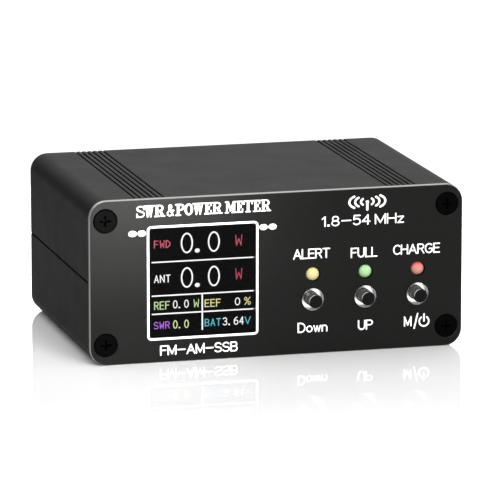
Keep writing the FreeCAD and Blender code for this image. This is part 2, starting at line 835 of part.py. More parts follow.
def coupled_line():
    """Second conductor, from the main board up through the second core and down again."""
    (left, depth), (right, _) = coupler_leg_places()
    low = main_board_level - lead_tail
    route = [point(left, depth, low), point(left, depth, mid_height), point(right, depth, mid_height),
             point(right, depth, low)]
    return pipe(route, line_radius, line_bend_radius)


def line_sleeves():
    """Insulating spacers on both conductors, which hold the wound cores."""
    half = core_width / 2 + 1.2
    radius = core_inner_radius - winding_gap - winding_wire
    sleeves = []
    for depth in (line_depth, coupled_depth):
        start = point(-half, depth, mid_height)
        outer = Part.makeCylinder(radius, 2 * half, start, Vector(1, 0, 0))
        bore = Part.makeCylinder(line_radius, 2 * half, start, Vector(1, 0, 0))
        sleeves.append(outer.cut(bore))
    return group(sleeves)


def coupler_cores():
    """Two ferrite rings whose axes run across the case."""
    rings = []
    for depth in (line_depth, coupled_depth):
        start = point(-core_width / 2, depth, mid_height)
        outer = Part.makeCylinder(core_outer_radius, core_width, start, Vector(1, 0, 0))
        bore = Part.makeCylinder(core_inner_radius, core_width, start, Vector(1, 0, 0))
        ring = outer.cut(bore)
        rings.append(ring.makeChamfer(0.3, [e for e in ring.Edges if len(e.Vertexes) == 1]))
    return group(rings)


def coupler_windings():
    """The turns of enamelled wire, each drawn as a closed loop round the ring's section."""
    half_x = core_width / 2
    inner = core_inner_radius - winding_gap
    outer = core_outer_radius + winding_gap
    loops = []
    for depth in (line_depth, coupled_depth):
        centre = point(0, depth, mid_height)
        for n in range(winding_turns):
            low, high = mid_height + inner - winding_wire, mid_height + outer + winding_wire
            side = (depth - winding_wire / 2, depth + winding_wire / 2)
            whole = block((-half_x - winding_wire, half_x + winding_wire), side, (low, high))
            hollow = block((-half_x, half_x), side, (mid_height + inner, mid_height + outer))
            loop = whole.cut(hollow)
            loop.rotate(centre, Vector(1, 0, 0), 360.0 * (n + 0.5) / winding_turns)
            loops.append(loop)
    return group(loops)


def coupler_screen():
    """Folded sheet that stands on the main board between the coupler and the logic."""
    depth = coupled_depth - screen_setback
    level = (main_board_top, main_board_top + screen_height)
    wall = block((-screen_half_width, screen_half_width), (depth, depth + screen_thickness), level)
    folds = []
    for side in (-1, 1):
        outer = side * screen_half_width
        inner = side * (screen_half_width - screen_thickness)
        folds.append(block((min(outer, inner), max(outer, inner)), (depth, depth + screen_fold), level))
    return join([wall] + folds)


# ---- cell --------------------------------------------------------------------------------------------------

wire_xs = (plug_centre_x + wire_pitch / 2, plug_centre_x - wire_pitch / 2)
wire_depths = (plug_front + plug_length + 3.0, plug_front + plug_length + 3.0 + wire_pitch)
cell_x = (-cell_length / 2, cell_length / 2)
cell_depth = (cell_front, cell_front + cell_width)


def battery_cell():
    """Flat lithium cell in foil, with a folded top edge where its lead leaves."""
    body = block(cell_x, cell_depth, (cell_floor, cell_floor + cell_thickness))
    body = round_corners(body, cell_edge_radius, Vector(1, 0, 0))
    end = cell_x[1]
    lip = block((end - 0.5, end + 0.8), (cell_depth[0] + 2, cell_depth[1] - 2),
                (cell_floor + cell_thickness * 0.3, cell_floor + cell_thickness * 0.75))
    return join([body, lip])


def battery_tape():
    """Double-sided tape that holds the cell to the lower half shell."""
    return block((cell_x[0] + tape_margin, cell_x[1] - tape_margin),
                 (cell_depth[0] + tape_margin, cell_depth[1] - tape_margin), (shell_wall, cell_floor))


def battery_wire(number):
    """One wire of the lead: out of the cell's end, up through the main board, and forward into the plug."""
    x, depth = wire_xs[number], wire_depths[number]
    low = cell_floor + cell_thickness / 2
    high = main_board_top + plug_wire_level
    route = [point(cell_x[1] + 0.8, depth, low), point(x, depth, low), point(x, depth, high),
             point(x, plug_front + plug_length, high)]
    return pipe(route, wire_radius, wire_bend_radius)


def battery_plug():
    half = plug_width / 2
    body = block((plug_centre_x - half, plug_centre_x + half), (plug_front, plug_front + plug_length),
                 (main_board_top + 0.4, main_board_top + 0.4 + plug_height))
    return round_corners(body, 0.4, Vector(0, 1, 0))


def battery_socket():
    """Board socket that the plug of the cell's lead goes into."""
    half = plug_width / 2 + 0.9
    rear = plug_front
    body = block((plug_centre_x - half, plug_centre_x + half), (rear - battery_socket_length, rear),
                 (main_board_top, main_board_top + plug_height + 1.2))
    return round_corners(body, 0.4, Vector(0, 1, 0))


# ---- small parts on the main board -------------------------------------------------------------------------

def on_board(x, depth, size):
    """A small block centred at that place on top of the main board."""
    length, width, height = size
    return block((x - length / 2, x + length / 2), (depth - width / 2, depth + width / 2),
                 (main_board_top, main_board_top + height))


logic_depth = header_bend + logic_setback
screen_depth = coupled_depth - screen_setback
small_chip_places = [(4.0, logic_depth), (14.0, logic_depth), (24.0, main_board_rear - 6.0)]
resistor_places = [(side * (12.0 + 3.4 * n), coupled_depth + row) for side in (-1, 1) for n in range(3)
                   for row in (-4.0, 0.0)]
capacitor_places = [(-2.0 + 3.4 * n, screen_depth - 1.6) for n in range(8)]
diode_places = [(side * (15.0 + 4.0 * n), coupled_depth + 5.0) for side in (-1, 1) for n in range(2)]


def controller_chip():
    return on_board(window_x + 4.0, logic_depth, (controller_size, controller_size, controller_height))


def small_chips():
    size = (small_chip_length, small_chip_width, small_chip_height - 0.15)
    chips = []
    for x, depth in small_chip_places:
        body = on_board(x, depth, size)
        body.translate(Vector(0, 0, 0.15))
        chips.append(body)
    return group(chips)


def small_chip_legs():
    """Eight gull-wing legs for each chip."""
    legs = []
    for x, depth in small_chip_places:
        for side in (-1, 1):
            near = depth + side * small_chip_width / 2
            far = near + side * small_chip_leg
            for n in range(4):
                leg_x = x + (n - 1.5) * 1.27
                foot = (min(near, far), max(near, far))
                legs.append(block((leg_x - 0.2, leg_x + 0.2), foot, (main_board_top, main_board_top + 0.2)))
    return group(legs)


def charger_inductor():
    return on_board(-24.0, main_board_rear - 6.0, (inductor_size, inductor_size, inductor_height))


def chip_resistors():
    return group([on_board(x, depth, chip_resistor) for x, depth in resistor_places])


def chip_capacitors():
    return group([on_board(x, depth, chip_capacitor) for x, depth in capacitor_places])


def detector_diodes():
    return group([on_board(x, depth, diode_size) for x, depth in diode_places])


# ---- build -------------------------------------------------------------------------------------------------

def build():
    lower = lower_shell()
    names = ("down", "up", "mode")
    lamps = ("alert", "full", "charge")
    parts = {
        "lower_shell": lower,
        "upper_shell": upper_shell(lower),
        "front_panel": front_panel(),
        "rear_panel": rear_panel(),
        "front_panel_screws": front_panel_screws(),
        "rear_panel_screws": rear_panel_screws(),
        "display_window": display_window(),
        "lcd_glass": lcd_glass(),
        "lcd_backlight": lcd_backlight(),
        "lcd_frame": lcd_frame(),
        "lcd_flex_cable": lcd_flex_cable(),
        "switch_housings": group([switch_housing(x) for x in control_xs]),
        "switch_cover_plates": group([switch_cover_plate(x) for x in control_xs]),
        "switch_domes": group([switch_dome(x) for x in control_xs]),
        "switch_legs": group([leg for x in control_xs for leg in switch_legs(x)]),
        "lamp_leads": lamp_leads(),
        "display_board": display_board(),
        "board_link_header": board_link_header(),
        "board_link_pins": board_link_pins(),
        "main_board": main_board(),
        "transmitter_socket": socket_body(socket_xs[0]),
        "antenna_socket": socket_body(socket_xs[1]),
        "socket_insulators": group([socket_insulator(x) for x in socket_xs]),
        "transmitter_contact": socket_contact(socket_xs[0]),
        "antenna_contact": socket_contact(socket_xs[1]),
        "socket_screws": socket_screws(),
        "socket_nuts": socket_nuts(),
        "charging_socket_shell": charging_socket_shell(),
        "charging_socket_tongue": charging_socket_tongue(),
        "through_line": through_line(),
        "coupled_line": coupled_line(),
        "line_sleeves": line_sleeves(),
        "coupler_cores": coupler_cores(),
        "coupler_windings": coupler_windings(),
        "coupler_screen": coupler_screen(),
        "battery_cell": battery_cell(),
        "battery_tape": battery_tape(),
        "battery_wire_red": battery_wire(0),
        "battery_wire_black": battery_wire(1),
        "battery_plug": battery_plug(),
        "battery_socket": battery_socket(),
        "controller_chip": controller_chip(),
        "small_chips": small_chips(),
        "small_chip_legs": small_chip_legs(),
        "charger_inductor": charger_inductor(),
        "chip_resistors": chip_resistors(),
        "chip_capacitors": chip_capacitors(),
        "detector_diodes": detector_diodes(),
    }
    for name, lamp, x in zip(names, lamps, control_xs):
        parts[name + "_button"] = push_button(x)
        parts[lamp + "_lamp"] = indicator_lamp(x)
    return parts


def main():
    os.makedirs("parts", exist_ok=True)
    for name, shape in build().items():
        if not shape.isValid() or not shape.Solids:
            raise ValueError(name + " is not a valid solid")
        shape.exportStep(os.path.join("parts", name + ".step"))
        print(f"{name}: {len(shape.Solids)} solids, {shape.Volume:.1f} mm3")


main()
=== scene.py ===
import json
import math

import bpy
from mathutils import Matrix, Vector

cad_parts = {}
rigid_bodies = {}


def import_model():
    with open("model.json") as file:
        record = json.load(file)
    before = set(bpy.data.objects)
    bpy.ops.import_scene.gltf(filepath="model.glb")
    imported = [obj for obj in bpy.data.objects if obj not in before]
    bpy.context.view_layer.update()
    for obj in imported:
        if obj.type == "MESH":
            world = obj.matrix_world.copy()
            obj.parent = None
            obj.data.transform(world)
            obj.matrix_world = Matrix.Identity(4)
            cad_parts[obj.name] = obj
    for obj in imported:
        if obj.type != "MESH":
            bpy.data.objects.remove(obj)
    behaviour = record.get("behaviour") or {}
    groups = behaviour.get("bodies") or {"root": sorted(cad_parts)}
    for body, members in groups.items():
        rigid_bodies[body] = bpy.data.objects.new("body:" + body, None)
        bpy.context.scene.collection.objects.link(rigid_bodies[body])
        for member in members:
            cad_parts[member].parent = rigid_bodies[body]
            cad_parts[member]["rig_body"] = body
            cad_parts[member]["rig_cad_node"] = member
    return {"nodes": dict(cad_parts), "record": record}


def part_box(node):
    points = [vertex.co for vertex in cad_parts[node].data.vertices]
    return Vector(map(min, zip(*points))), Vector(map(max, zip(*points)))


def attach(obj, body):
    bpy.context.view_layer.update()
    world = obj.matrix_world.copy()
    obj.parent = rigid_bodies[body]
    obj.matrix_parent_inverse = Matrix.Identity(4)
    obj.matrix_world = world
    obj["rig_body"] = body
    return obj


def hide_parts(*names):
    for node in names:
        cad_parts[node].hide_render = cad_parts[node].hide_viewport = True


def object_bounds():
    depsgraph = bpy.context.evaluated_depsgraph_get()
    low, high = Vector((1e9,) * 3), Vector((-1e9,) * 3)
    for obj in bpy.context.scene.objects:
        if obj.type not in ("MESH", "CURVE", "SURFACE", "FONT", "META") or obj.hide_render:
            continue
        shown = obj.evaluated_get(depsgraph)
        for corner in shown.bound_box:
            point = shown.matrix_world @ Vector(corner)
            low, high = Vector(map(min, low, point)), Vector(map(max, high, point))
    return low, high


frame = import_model()
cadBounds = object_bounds()
nodes = frame["nodes"]
bpy.ops.object.select_all(action="DESELECT")
mm = 0.001  # sizes in the dictionaries are in mm

panelLow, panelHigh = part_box("front_panel")
faceY = panelLow.y
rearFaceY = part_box("rear_panel")[1].y
floorLevel = cadBounds[0].z
print("frame loaded,", len(nodes), "nodes")

cameraSettings = {
    "azimuth": -14.95,
    "elevation": 11.64,
    "distance": 1089.8,
    "aimX": -7.04,
    "aimZ": 25.55,
    "lens": 353.6,
    "sensor": 36.0,
    "shift": (-0.0080, 0.0078),
}


def placeCamera(settings):
    azimuth = math.radians(settings["azimuth"])
    elevation = math.radians(settings["elevation"])
    back = Vector((math.sin(azimuth) * math.cos(elevation), -math.cos(azimuth) * math.cos(elevation),
                   math.sin(elevation)))
    aim = Vector((settings["aimX"] * mm, faceY, settings["aimZ"] * mm))
    bpy.ops.object.camera_add(location=aim + back * settings["distance"] * mm,
                              rotation=back.to_track_quat("Z", "Y").to_euler())
    camera = bpy.context.object
    camera.data.lens = settings["lens"]
    camera.data.sensor_width = settings["sensor"]
    camera.data.shift_x, camera.data.shift_y = settings["shift"]
    camera.data.clip_start = 0.01
    bpy.context.scene.camera = camera


# each light: where it stands and what it points at, in mm from the middle of the front panel, its size in
# mm, its power in W and its spread in degrees, which a grid of cells in front of a light makes narrow
lights = {
    "overheadSoftbox": ((-80, 60, 700), (0, 0, 0), (900, 700), 3.5, 180),
    "backSoftbox": ((260, 900, 420), (0, 0, 0), (1200, 600), 7.0, 180),
    "gridLight": ((-20, -75, 25), (-34, 0, 8), (40, 30), 0.0175, 56),
    "frontLeftSoftbox": ((-420, -520, 300), (0, 0, 0), (300, 420), 0.42, 180),
    "floorLight": ((-160, -260, 160), (-90, -200, -19), (120, 120), 0.35, 90),
    "frontSoftbox": ((120, -900, 700), (0, 0, 0), (600, 400), 9.0, 180),
    "rightSoftbox": ((600, -200, 300), (0, 0, 0), (400, 400), 1.8, 180),
}
surroundings = {"colour": "#ffffff", "strength": 1.0}


def placeLights():
    middle = Vector((0, faceY, (panelLow.z + panelHigh.z) / 2))
    for name, (place, aim, size, power, spread) in lights.items():
        place, aim = middle + Vector(place) * mm, middle + Vector(aim) * mm
        bpy.ops.object.light_add(type="AREA", location=place,
                                 rotation=(place - aim).to_track_quat("Z", "Y").to_euler())
        lamp = bpy.context.object
        lamp.name = name
        lamp.visible_camera = False
        lamp.data.shape = "RECTANGLE"
        lamp.data.size, lamp.data.size_y = size[0] * mm, size[1] * mm
        lamp.data.energy = power
        lamp.data.spread = math.radians(spread)
    world = bpy.data.worlds.new("studio")
    bpy.context.scene.world = world
    world.use_nodes = True
    background = world.node_tree.nodes["Background"]
    background.inputs["Color"].default_value = linear(surroundings["colour"])
    background.inputs["Strength"].default_value = surroundings["strength"]
    bpy.context.scene.view_settings.view_transform = "Standard"


# about where the values of a noise lie
noiseSpan = (0.3, 0.7)


def linear(hexColour):
    parts = [int(hexColour[n:n + 2], 16) / 255 for n in (1, 3, 5)]
    return [p / 12.92 if p <= 0.04045 else ((p + 0.055) / 1.055) ** 2.4 for p in parts] + [1.0]


def addNode(tree, kind, settings):
    # a setting is a property of the node, a value for an input, or what is linked to that input: an
    # output, or a node, which then gives the first output it has in use; inputs that share a name go by
    # number, as 0 for the share of a mix, 2 and 3 for its numbers and 6 and 7 for its colours
    node = tree.nodes.new("ShaderNode" + kind)
    for key, value in settings.items():
        if isinstance(value, bpy.types.Node):
            value = next(output for output in value.outputs if output.enabled)
        if isinstance(value, bpy.types.NodeSocket):
            tree.links.new(value, node.inputs[key])
        elif isinstance(key, int) or key in node.inputs:
            node.inputs[key].default_value = value
        else:
            setattr(node, key, value)
    return node


def makeMaterial(name, finishNodes, *values):
    # finishNodes adds the nodes of a finish and returns the settings of the shader
    material = bpy.data.materials.new(name)
    material.use_nodes = True
    tree = material.node_tree
    tree.nodes.clear()
    coords = addNode(tree, "TexCoord", {}).outputs
    shader = addNode(tree, "BsdfPrincipled", finishNodes(tree, coords, *values))
    addNode(tree, "OutputMaterial", {"Surface": shader})
    return material


# What each finish starts from. "slots" are the slots of the nodes that take it, "dark" and "light" the
# two ends of its colour variation, "grain" the size of its smallest visible mark and "relief" how deep that
# mark is, and "stretch" draws the marks out along an axis, as rolling, brushing or extruding does. The
# marks of blasting, rolling or firing are finer in fact, and are drawn as coarse as they need to show. What a
# finish leaves out is in finishDefaults.
finishDefaults = {"metallic": 0.0, "stretch": (1, 1, 1), "specular": 0.5, "edge": "#ffffff",
                  "handlingMarks": 9.0, "grainShare": 0.55}
finishes = {
    # 6063 aluminium, extruded, bead blasted, dyed black and sealed: soft sheen, die marks along the depth
    "extrudedBlackAnodised": {
        "slots": "shell_anodised", "dark": "#191919", "light": "#232323", "metallic": 1.0,
        "roughness": (0.46, 0.56), "grain": 0.32, "relief": 0.006, "stretch": (1, 0.45, 1),
        "edge": "#b4b4b4"},
    # the same finish on rolled sheet: an even satin with no die marks
    "sheetBlackAnodised": {
        "slots": "rear_anodised", "dark": "#1b1b1b", "light": "#242424", "metallic": 1.0,
        "roughness": (0.38, 0.46), "grain": 0.3, "relief": 0.004, "edge": "#b4b4b4"},
    # carbon steel, cold headed, black oxide with a film of oil: nearly black, a little uneven
    "blackOxideSteel": {
        "slots": "black_steel", "dark": "#040404", "light": "#0b0b0b", "metallic": 1.0,
        "roughness": (0.4, 0.55), "grain": 0.25, "relief": 0.004, "edge": "#b4b4b4"},
    # stainless strip, stamped: bright with fine rolling lines across
    "rolledStainless": {
        "slots": "switch_steel spring_steel", "dark": "#f4f4f2", "light": "#fdfdfc", "metallic": 1.0,
        "roughness": (0.1, 0.2), "grain": 0.12, "relief": 0.001, "stretch": (0.08, 1, 1)},
    # tin plate over brass or steel: soft white shine with slight clouding
    "tinPlate": {
        "slots": "tinned_metal", "dark": "#b7b7b2", "light": "#d8d8d2", "metallic": 1.0,
        "roughness": (0.25, 0.42), "grain": 0.5, "relief": 0.002},
    # gold flash over nickel
    "goldFlash": {
        "slots": "gold_pins contact_gold", "dark": "#d2a24c", "light": "#ecc97a", "metallic": 1.0,
        "roughness": (0.18, 0.3), "grain": 0.3, "relief": 0.001},
    # bright nickel over machined brass: turning rings show through, a warm white metal
    "nickelPlate": {
        "slots": "nickel_plate", "dark": "#b9b4a8", "light": "#dcd8cd", "metallic": 1.0,
        "roughness": (0.2, 0.34), "grain": 0.18, "relief": 0.0015, "stretch": (0.15, 1, 0.15)},
    # zinc plated steel fasteners, cold headed: cooler and duller than nickel
    "zincPlate": {
        "slots": "zinc_steel", "dark": "#a9adb0", "light": "#cfd3d6", "metallic": 1.0,
        "roughness": (0.24, 0.38), "grain": 0.3, "relief": 0.002},
    # drawn copper wire, bare: warm, with fine lines from the die
    "copperWire": {
        "slots": "bare_copper", "dark": "#b5713f", "light": "#d99a66", "metallic": 1.0,
        "roughness": (0.25, 0.4), "grain": 0.4, "relief": 0.002, "stretch": (0.2, 1, 1)},
    # copper wire under polyester enamel: dark amber with a gloss coat
    "enamelledWire": {
        "slots": "enamelled_copper", "dark": "#7a2f12", "light": "#a8481c", "metallic": 0.8,
        "roughness": (0.2, 0.3), "grain": 0.4, "relief": 0.001},
    # glass-filled nylon, injection moulded: fine texture from the tool
    "mouldedBlackNylon": {
        "slots": "black_plastic", "dark": "#141414", "light": "#1e1e1e", "roughness": (0.5, 0.65),
        "grain": 0.2, "relief": 0.006, "specular": 0.4},
    # natural nylon of small connectors: cream, slightly waxy
    "naturalNylon": {
        "slots": "white_nylon", "dark": "#ddd6c4", "light": "#eee9da", "roughness": (0.35, 0.48),
        "grain": 0.4, "relief": 0.003, "specular": 0.45},
    # PTFE, turned from rod: dense waxy white with faint tool rings
    "turnedFluoropolymer": {
        "slots": "fluoropolymer", "dark": "#e4e3de", "light": "#f4f3ef", "roughness": (0.4, 0.52),
        "grain": 0.2, "relief": 0.003, "stretch": (1, 0.3, 1), "specular": 0.35},
    # transfer moulded epoxy of chip packages: matt charcoal
    "chipEpoxy": {
        "slots": "chip_epoxy", "dark": "#191a1b", "light": "#242526", "roughness": (0.55, 0.7),
        "grain": 0.1, "relief": 0.004, "specular": 0.35},
    # manganese-zinc ferrite, pressed and fired: dark grey ceramic with a fine sandy skin
    "firedFerrite": {
        "slots": "ferrite", "dark": "#2a2b2d", "light": "#3a3b3d", "roughness": (0.6, 0.75),
        "grain": 0.15, "relief": 0.008, "specular": 0.4},
    # barium titanate of chip capacitors: fired tan ceramic
    "capacitorCeramic": {
        "slots": "capacitor_ceramic", "dark": "#9a7a58", "light": "#b08e68", "roughness": (0.4, 0.5),
        "grain": 0.1, "relief": 0.002, "specular": 0.45},
    # glass glaze over thick film of chip resistors
    "resistorGlaze": {
        "slots": "resistor_ceramic", "dark": "#131518", "light": "#202327", "roughness": (0.2, 0.35),
        "grain": 0.15, "relief": 0.002},
    # aluminium laminate of pouch cells: satin silver with soft wrinkles
    "pouchFoil": {
        "slots": "cell_foil", "dark": "#9fa2a6", "light": "#c4c7ca", "metallic": 0.9,
        "roughness": (0.3, 0.45), "grain": 3.0, "relief": 0.05},
    # acrylic foam tape: off-white, open pores
    "foamTape": {
        "slots": "foam_tape", "dark": "#cfcdbf", "light": "#e2e0d3", "roughness": (0.85, 0.95),
        "grain": 0.25, "relief": 0.04, "specular": 0.25},
    # silicone insulation of hook-up wire, extruded: soft satin
    "redSilicone": {
        "slots": "wire_red", "dark": "#8e1210", "light": "#b01c18", "roughness": (0.45, 0.58),
        "grain": 0.4, "relief": 0.003, "specular": 0.4},
    "blackSilicone": {
        "slots": "wire_black", "dark": "#141414", "light": "#1e1e1e", "roughness": (0.45, 0.58),
        "grain": 0.4, "relief": 0.003, "specular": 0.4},
    # polyimide film of flexible circuits, laminated: translucent amber over copper
    "amberPolyimide": {
        "slots": "amber_film", "dark": "#7e4a0e", "light": "#a5691c", "metallic": 0.1,
        "roughness": (0.25, 0.38), "grain": 0.5, "relief": 0.002, "stretch": (1, 1, 0.15)},
    # white polycarbonate moulding of the backlight
    "backlightPolycarbonate": {
        "slots": "backlight_white", "dark": "#dedede", "light": "#efefef", "roughness": (0.4, 0.5),
        "grain": 0.5, "relief": 0.002, "specular": 0.45},
}


def grainedFinish(tree, coords, finish):
    # two scales of noise: the grain itself, and broad handling marks that shift the gloss
    finish = {**finishDefaults, **finish}
    drawn = addNode(tree, "Mapping", {"Scale": finish["stretch"], "Vector": coords["Object"]})
    grain = addNode(tree, "TexNoise", {
        "Scale": 1 / (finish["grain"] * mm), "Detail": 3.0, "Roughness": 0.55, "Vector": drawn})
    marks = addNode(tree, "TexNoise", {
        "Scale": 1 / (finish["handlingMarks"] * mm), "Detail": 4.0, "Roughness": 0.6,
        "Vector": coords["Object"]})
    share = finish["grainShare"]
    grainPart = addNode(tree, "Math", {"operation": "MULTIPLY", 0: grain, 1: share})
    spread = addNode(tree, "Math", {"operation": "MULTIPLY_ADD", 0: marks, 1: 1 - share, 2: grainPart})
    colour = addNode(tree, "Mix", {
        "data_type": "RGBA", 0: spread, 6: linear(finish["dark"]), 7: linear(finish["light"])})
    low, high = finish["roughness"]
    gloss = addNode(tree, "MapRange", {
        "From Min": noiseSpan[0], "From Max": noiseSpan[1], "To Min": low, "To Max": high,
        "Value": spread})
    bump = addNode(tree, "Bump", {"Strength": 0.6, "Distance": finish["relief"] * mm, "Height": grain})
    return {"Metallic": finish["metallic"], "Specular IOR Level": finish["specular"],
            "Specular Tint": linear(finish["edge"]), "Base Color": colour, "Roughness": gloss,
            "Normal": bump}


panelFinish = {
    "face": ("#1c1c1c", "#252524"),
    "faceRoughness": (0.36, 0.46),
    "bareMetal": ("#787875", "#92928e"),
    "drilledMetal": "#fbfbfa",
    "bareRoughness": (0.3, 0.42),
    "bareDepth": 0.85,
    "rimDepth": 0.25,
    "holeRow": {"X": (20.86, 15.5), "Z": (12.66, 3.0)},  # middle of the button holes and reach either side
    "facesOut": 0.85,  # how nearly a face must look forward to count as the front
    "grain": 0.3,
    "handlingMarks": 14.0,
    "cutterMark": 0.12,
    "relief": 0.004,
    "cornerRadius": 4.0,
    "edgeTint": "#c0c0c0",
}


def cutAnodisedAluminium(tree, coords, finish):
    # 5052 aluminium sheet, anodised black, then milled round and drilled for the buttons: a black face
    # with a thin bright line along the front of its rim and bright walls in the button holes
    at = addNode(tree, "SeparateXYZ", {"Vector": coords["Object"]}).outputs
    outward = addNode(tree, "SeparateXYZ", {"Vector": coords["Normal"]}).outputs
    facing = addNode(tree, "Math", {"operation": "ABSOLUTE", 0: outward["Y"]})
    side = addNode(tree, "Math", {"operation": "LESS_THAN", 0: facing, 1: finish["facesOut"]})
    # how far out a point is from the straight-sided middle of the panel: the corner radius, on the rim
    corner = finish["cornerRadius"] * mm
    half, middle = (panelHigh - panelLow) / 2, (panelHigh + panelLow) / 2
    centred = addNode(tree, "VectorMath", {"operation": "SUBTRACT", 0: coords["Object"], 1: middle})
    mirrored = addNode(tree, "VectorMath", {"operation": "ABSOLUTE", 0: centred})
    inner = (half.x - corner, 1.0, half.z - corner)
    beyond = addNode(tree, "VectorMath", {"operation": "SUBTRACT", 0: mirrored, 1: inner})
    past = addNode(tree, "VectorMath", {"operation": "MAXIMUM", 0: beyond, 1: (0, 0, 0)})
    reach = addNode(tree, "VectorMath", {"operation": "LENGTH", 0: past})
    rimStart = corner - finish["rimDepth"] * mm
    rim = addNode(tree, "Math", {"operation": "GREATER_THAN", 0: reach, 1: rimStart})
    front = addNode(tree, "Math", {
        "operation": "LESS_THAN", 0: at["Y"], 1: faceY + finish["bareDepth"] * mm})
    milled = addNode(tree, "Math", {"operation": "MULTIPLY", 0: rim, 1: front})
    near = [addNode(tree, "Math", {"operation": "COMPARE", 0: at[axis], 1: place * mm, 2: span * mm})
            for axis, (place, span) in finish["holeRow"].items()]
    cut = addNode(tree, "Math", {"operation": "MULTIPLY_ADD", 0: near[0], 1: near[1], 2: milled})
    bare = addNode(tree, "Math", {"operation": "MULTIPLY", 0: side, 1: cut})
    grain = addNode(tree, "TexNoise", {
        "Scale": 1 / (finish["grain"] * mm), "Detail": 3.0, "Vector": coords["Object"]})
    marks = addNode(tree, "TexNoise", {
        "Scale": 1 / (finish["handlingMarks"] * mm), "Detail": 4.0, "Vector": coords["Object"]})
    across = addNode(tree, "Mapping", {"Scale": (0, 1, 0), "Vector": coords["Object"]})
    cutter = addNode(tree, "TexNoise", {
        "Scale": 1 / (finish["cutterMark"] * mm), "Detail": 2.0, "Vector": across})
    faceColour, rimColour = (addNode(tree, "Mix", {"data_type": "RGBA", 0: pattern,
                                                   6: linear(finish[metal][0]),
                                                   7: linear(finish[metal][1])})
                             for pattern, metal in ((grain, "face"), (cutter, "bareMetal")))
    cutColour = addNode(tree, "Mix", {
        "data_type": "RGBA", 0: milled, 6: linear(finish["drilledMetal"]), 7: rimColour})
    colour = addNode(tree, "Mix", {"data_type": "RGBA", 0: bare, 6: faceColour, 7: cutColour})
    faceGloss, bareGloss = (addNode(tree, "MapRange", {"From Min": noiseSpan[0], "From Max": noiseSpan[1],
                                                       "To Min": finish[span][0],
                                                       "To Max": finish[span][1], "Value": pattern})
                            for pattern, span in ((marks, "faceRoughness"), (cutter, "bareRoughness")))
    gloss = addNode(tree, "Mix", {"data_type": "FLOAT", 0: bare, 2: faceGloss, 3: bareGloss})
    bump = addNode(tree, "Bump", {"Strength": 0.5, "Distance": finish["relief"] * mm, "Height": grain})
    return {"Metallic": 1.0, "Specular Tint": linear(finish["edgeTint"]), "Base Color": colour,
            "Roughness": gloss, "Normal": bump}


acrylicFinish = {
    "index": 1.07,
    "roughness": (0.0, 0.02),
    "wipeSpan": (0.35, 0.75),
    "wipeWidth": 0.3,
    "wipeDepth": 1.0,
    "wipeLength": 8.0,
    "wipeTurn": 24,
}


def castAcrylic(tree, coords, finish):
    # PMMA, cast and polished, with a coat that cuts reflections, which the low index stands for: clear,
    # nearly free of glare, with a few hairline wipes in the gloss
    sizes = [1 / (finish[size] * mm) for size in ("wipeLength", "wipeDepth", "wipeWidth")]
    turn = (0, math.radians(finish["wipeTurn"]), 0)
    turned = addNode(tree, "Mapping", {"Scale": sizes, "Rotation": turn, "Vector": coords["Object"]})
    wipes = addNode(tree, "TexNoise", {"Scale": 1.0, "Detail": 2.0, "Vector": turned})
    start, end = finish["wipeSpan"]
    low, high = finish["roughness"]
    gloss = addNode(tree, "MapRange", {
        "From Min": start, "From Max": end, "To Min": low, "To Max": high, "Value": wipes})
    return {"Base Color": linear("#ffffff"), "Transmission Weight": 1.0, "IOR": finish["index"],
            "Roughness": gloss}


glassFinish = {
    "dotSize": 0.2,
    "dots": ("#141414", "#1a1a1a"),
    # the colour below is a painted glow, in place of the light the pane in front keeps off the glass
    "paintedGlow": "#101011",
    "hazeSize": 6.0,
    "roughness": (0.12, 0.22),
}


def displayGlass(tree, coords, finish):
    # float glass with a dark polariser laminated on it: near black, smooth, with the faint grid of its
    # dots and a faint painted glow standing in for the light that the clear pane in front keeps off it
    dark, light = finish["dots"]
    dots = addNode(tree, "TexChecker", {
        "Scale": 1 / (finish["dotSize"] * mm), "Color1": linear(dark), "Color2": linear(light),
        "Vector": coords["Object"]})
    haze = addNode(tree, "TexNoise", {
        "Scale": 1 / (finish["hazeSize"] * mm), "Detail": 3.0, "Vector": coords["Object"]})
    low, high = finish["roughness"]
    gloss = addNode(tree, "MapRange", {"To Min": low, "To Max": high, "Value": haze})
    return {"IOR": 1.5, "Specular IOR Level": 0.03, "Emission Color": linear(finish["paintedGlow"]),
            "Emission Strength": 1.0, "Base Color": dots, "Roughness": gloss}


lensFinish = {
    "fillerSize": 0.6,
    "fillerShare": 0.9,
    "heartToRim": (0.5, 2.1),
    "crownFrom": (0.1, 1.3),
    "roughness": 0.3,
}


def diffusedLens(tree, coords, rim, heart, crown, lampNode, finish):
    # epoxy with a diffusing filler, cast: its own colour with painted light, paler in the middle and deeper
    # towards the rim and at the top
    low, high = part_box(lampNode)
    middle = (low + high) / 2
    centred = addNode(tree, "Mapping", {
        "Location": (-middle.x, -low.y, -middle.z), "Vector": coords["Object"]})
    flat = addNode(tree, "VectorMath", {"operation": "MULTIPLY", 0: centred, 1: (1, 0, 1)})
    reach = addNode(tree, "VectorMath", {"operation": "LENGTH", 0: flat})
    filler = addNode(tree, "TexNoise", {
        "Scale": 1 / (finish["fillerSize"] * mm), "Detail": 3.0, "Vector": coords["Object"]})
    uneven = addNode(tree, "Math", {
        "operation": "MULTIPLY_ADD", 0: filler, 1: finish["fillerShare"] * mm, 2: reach})
    height = addNode(tree, "SeparateXYZ", {"Vector": centred}).outputs["Z"]
    # painted light: paler in the middle, deeper towards the rim, and deeper at the top
    outer, paintedDeeperTop = (addNode(tree, "MapRange", {"From Min": finish[span][0] * mm,
                                                 "From Max": finish[span][1] * mm, "Value": distance})
                      for distance, span in ((uneven, "heartToRim"), (height, "crownFrom")))
    colour = addNode(tree, "Mix", {"data_type": "RGBA", 0: outer, 6: linear(heart), 7: linear(rim)})
    tint = addNode(tree, "Mix", {"data_type": "RGBA", 0: paintedDeeperTop, 6: colour, 7: linear(crown)})
    return {"Roughness": finish["roughness"], "IOR": 1.54, "Specular IOR Level": 0.25, "Base Color": tint}


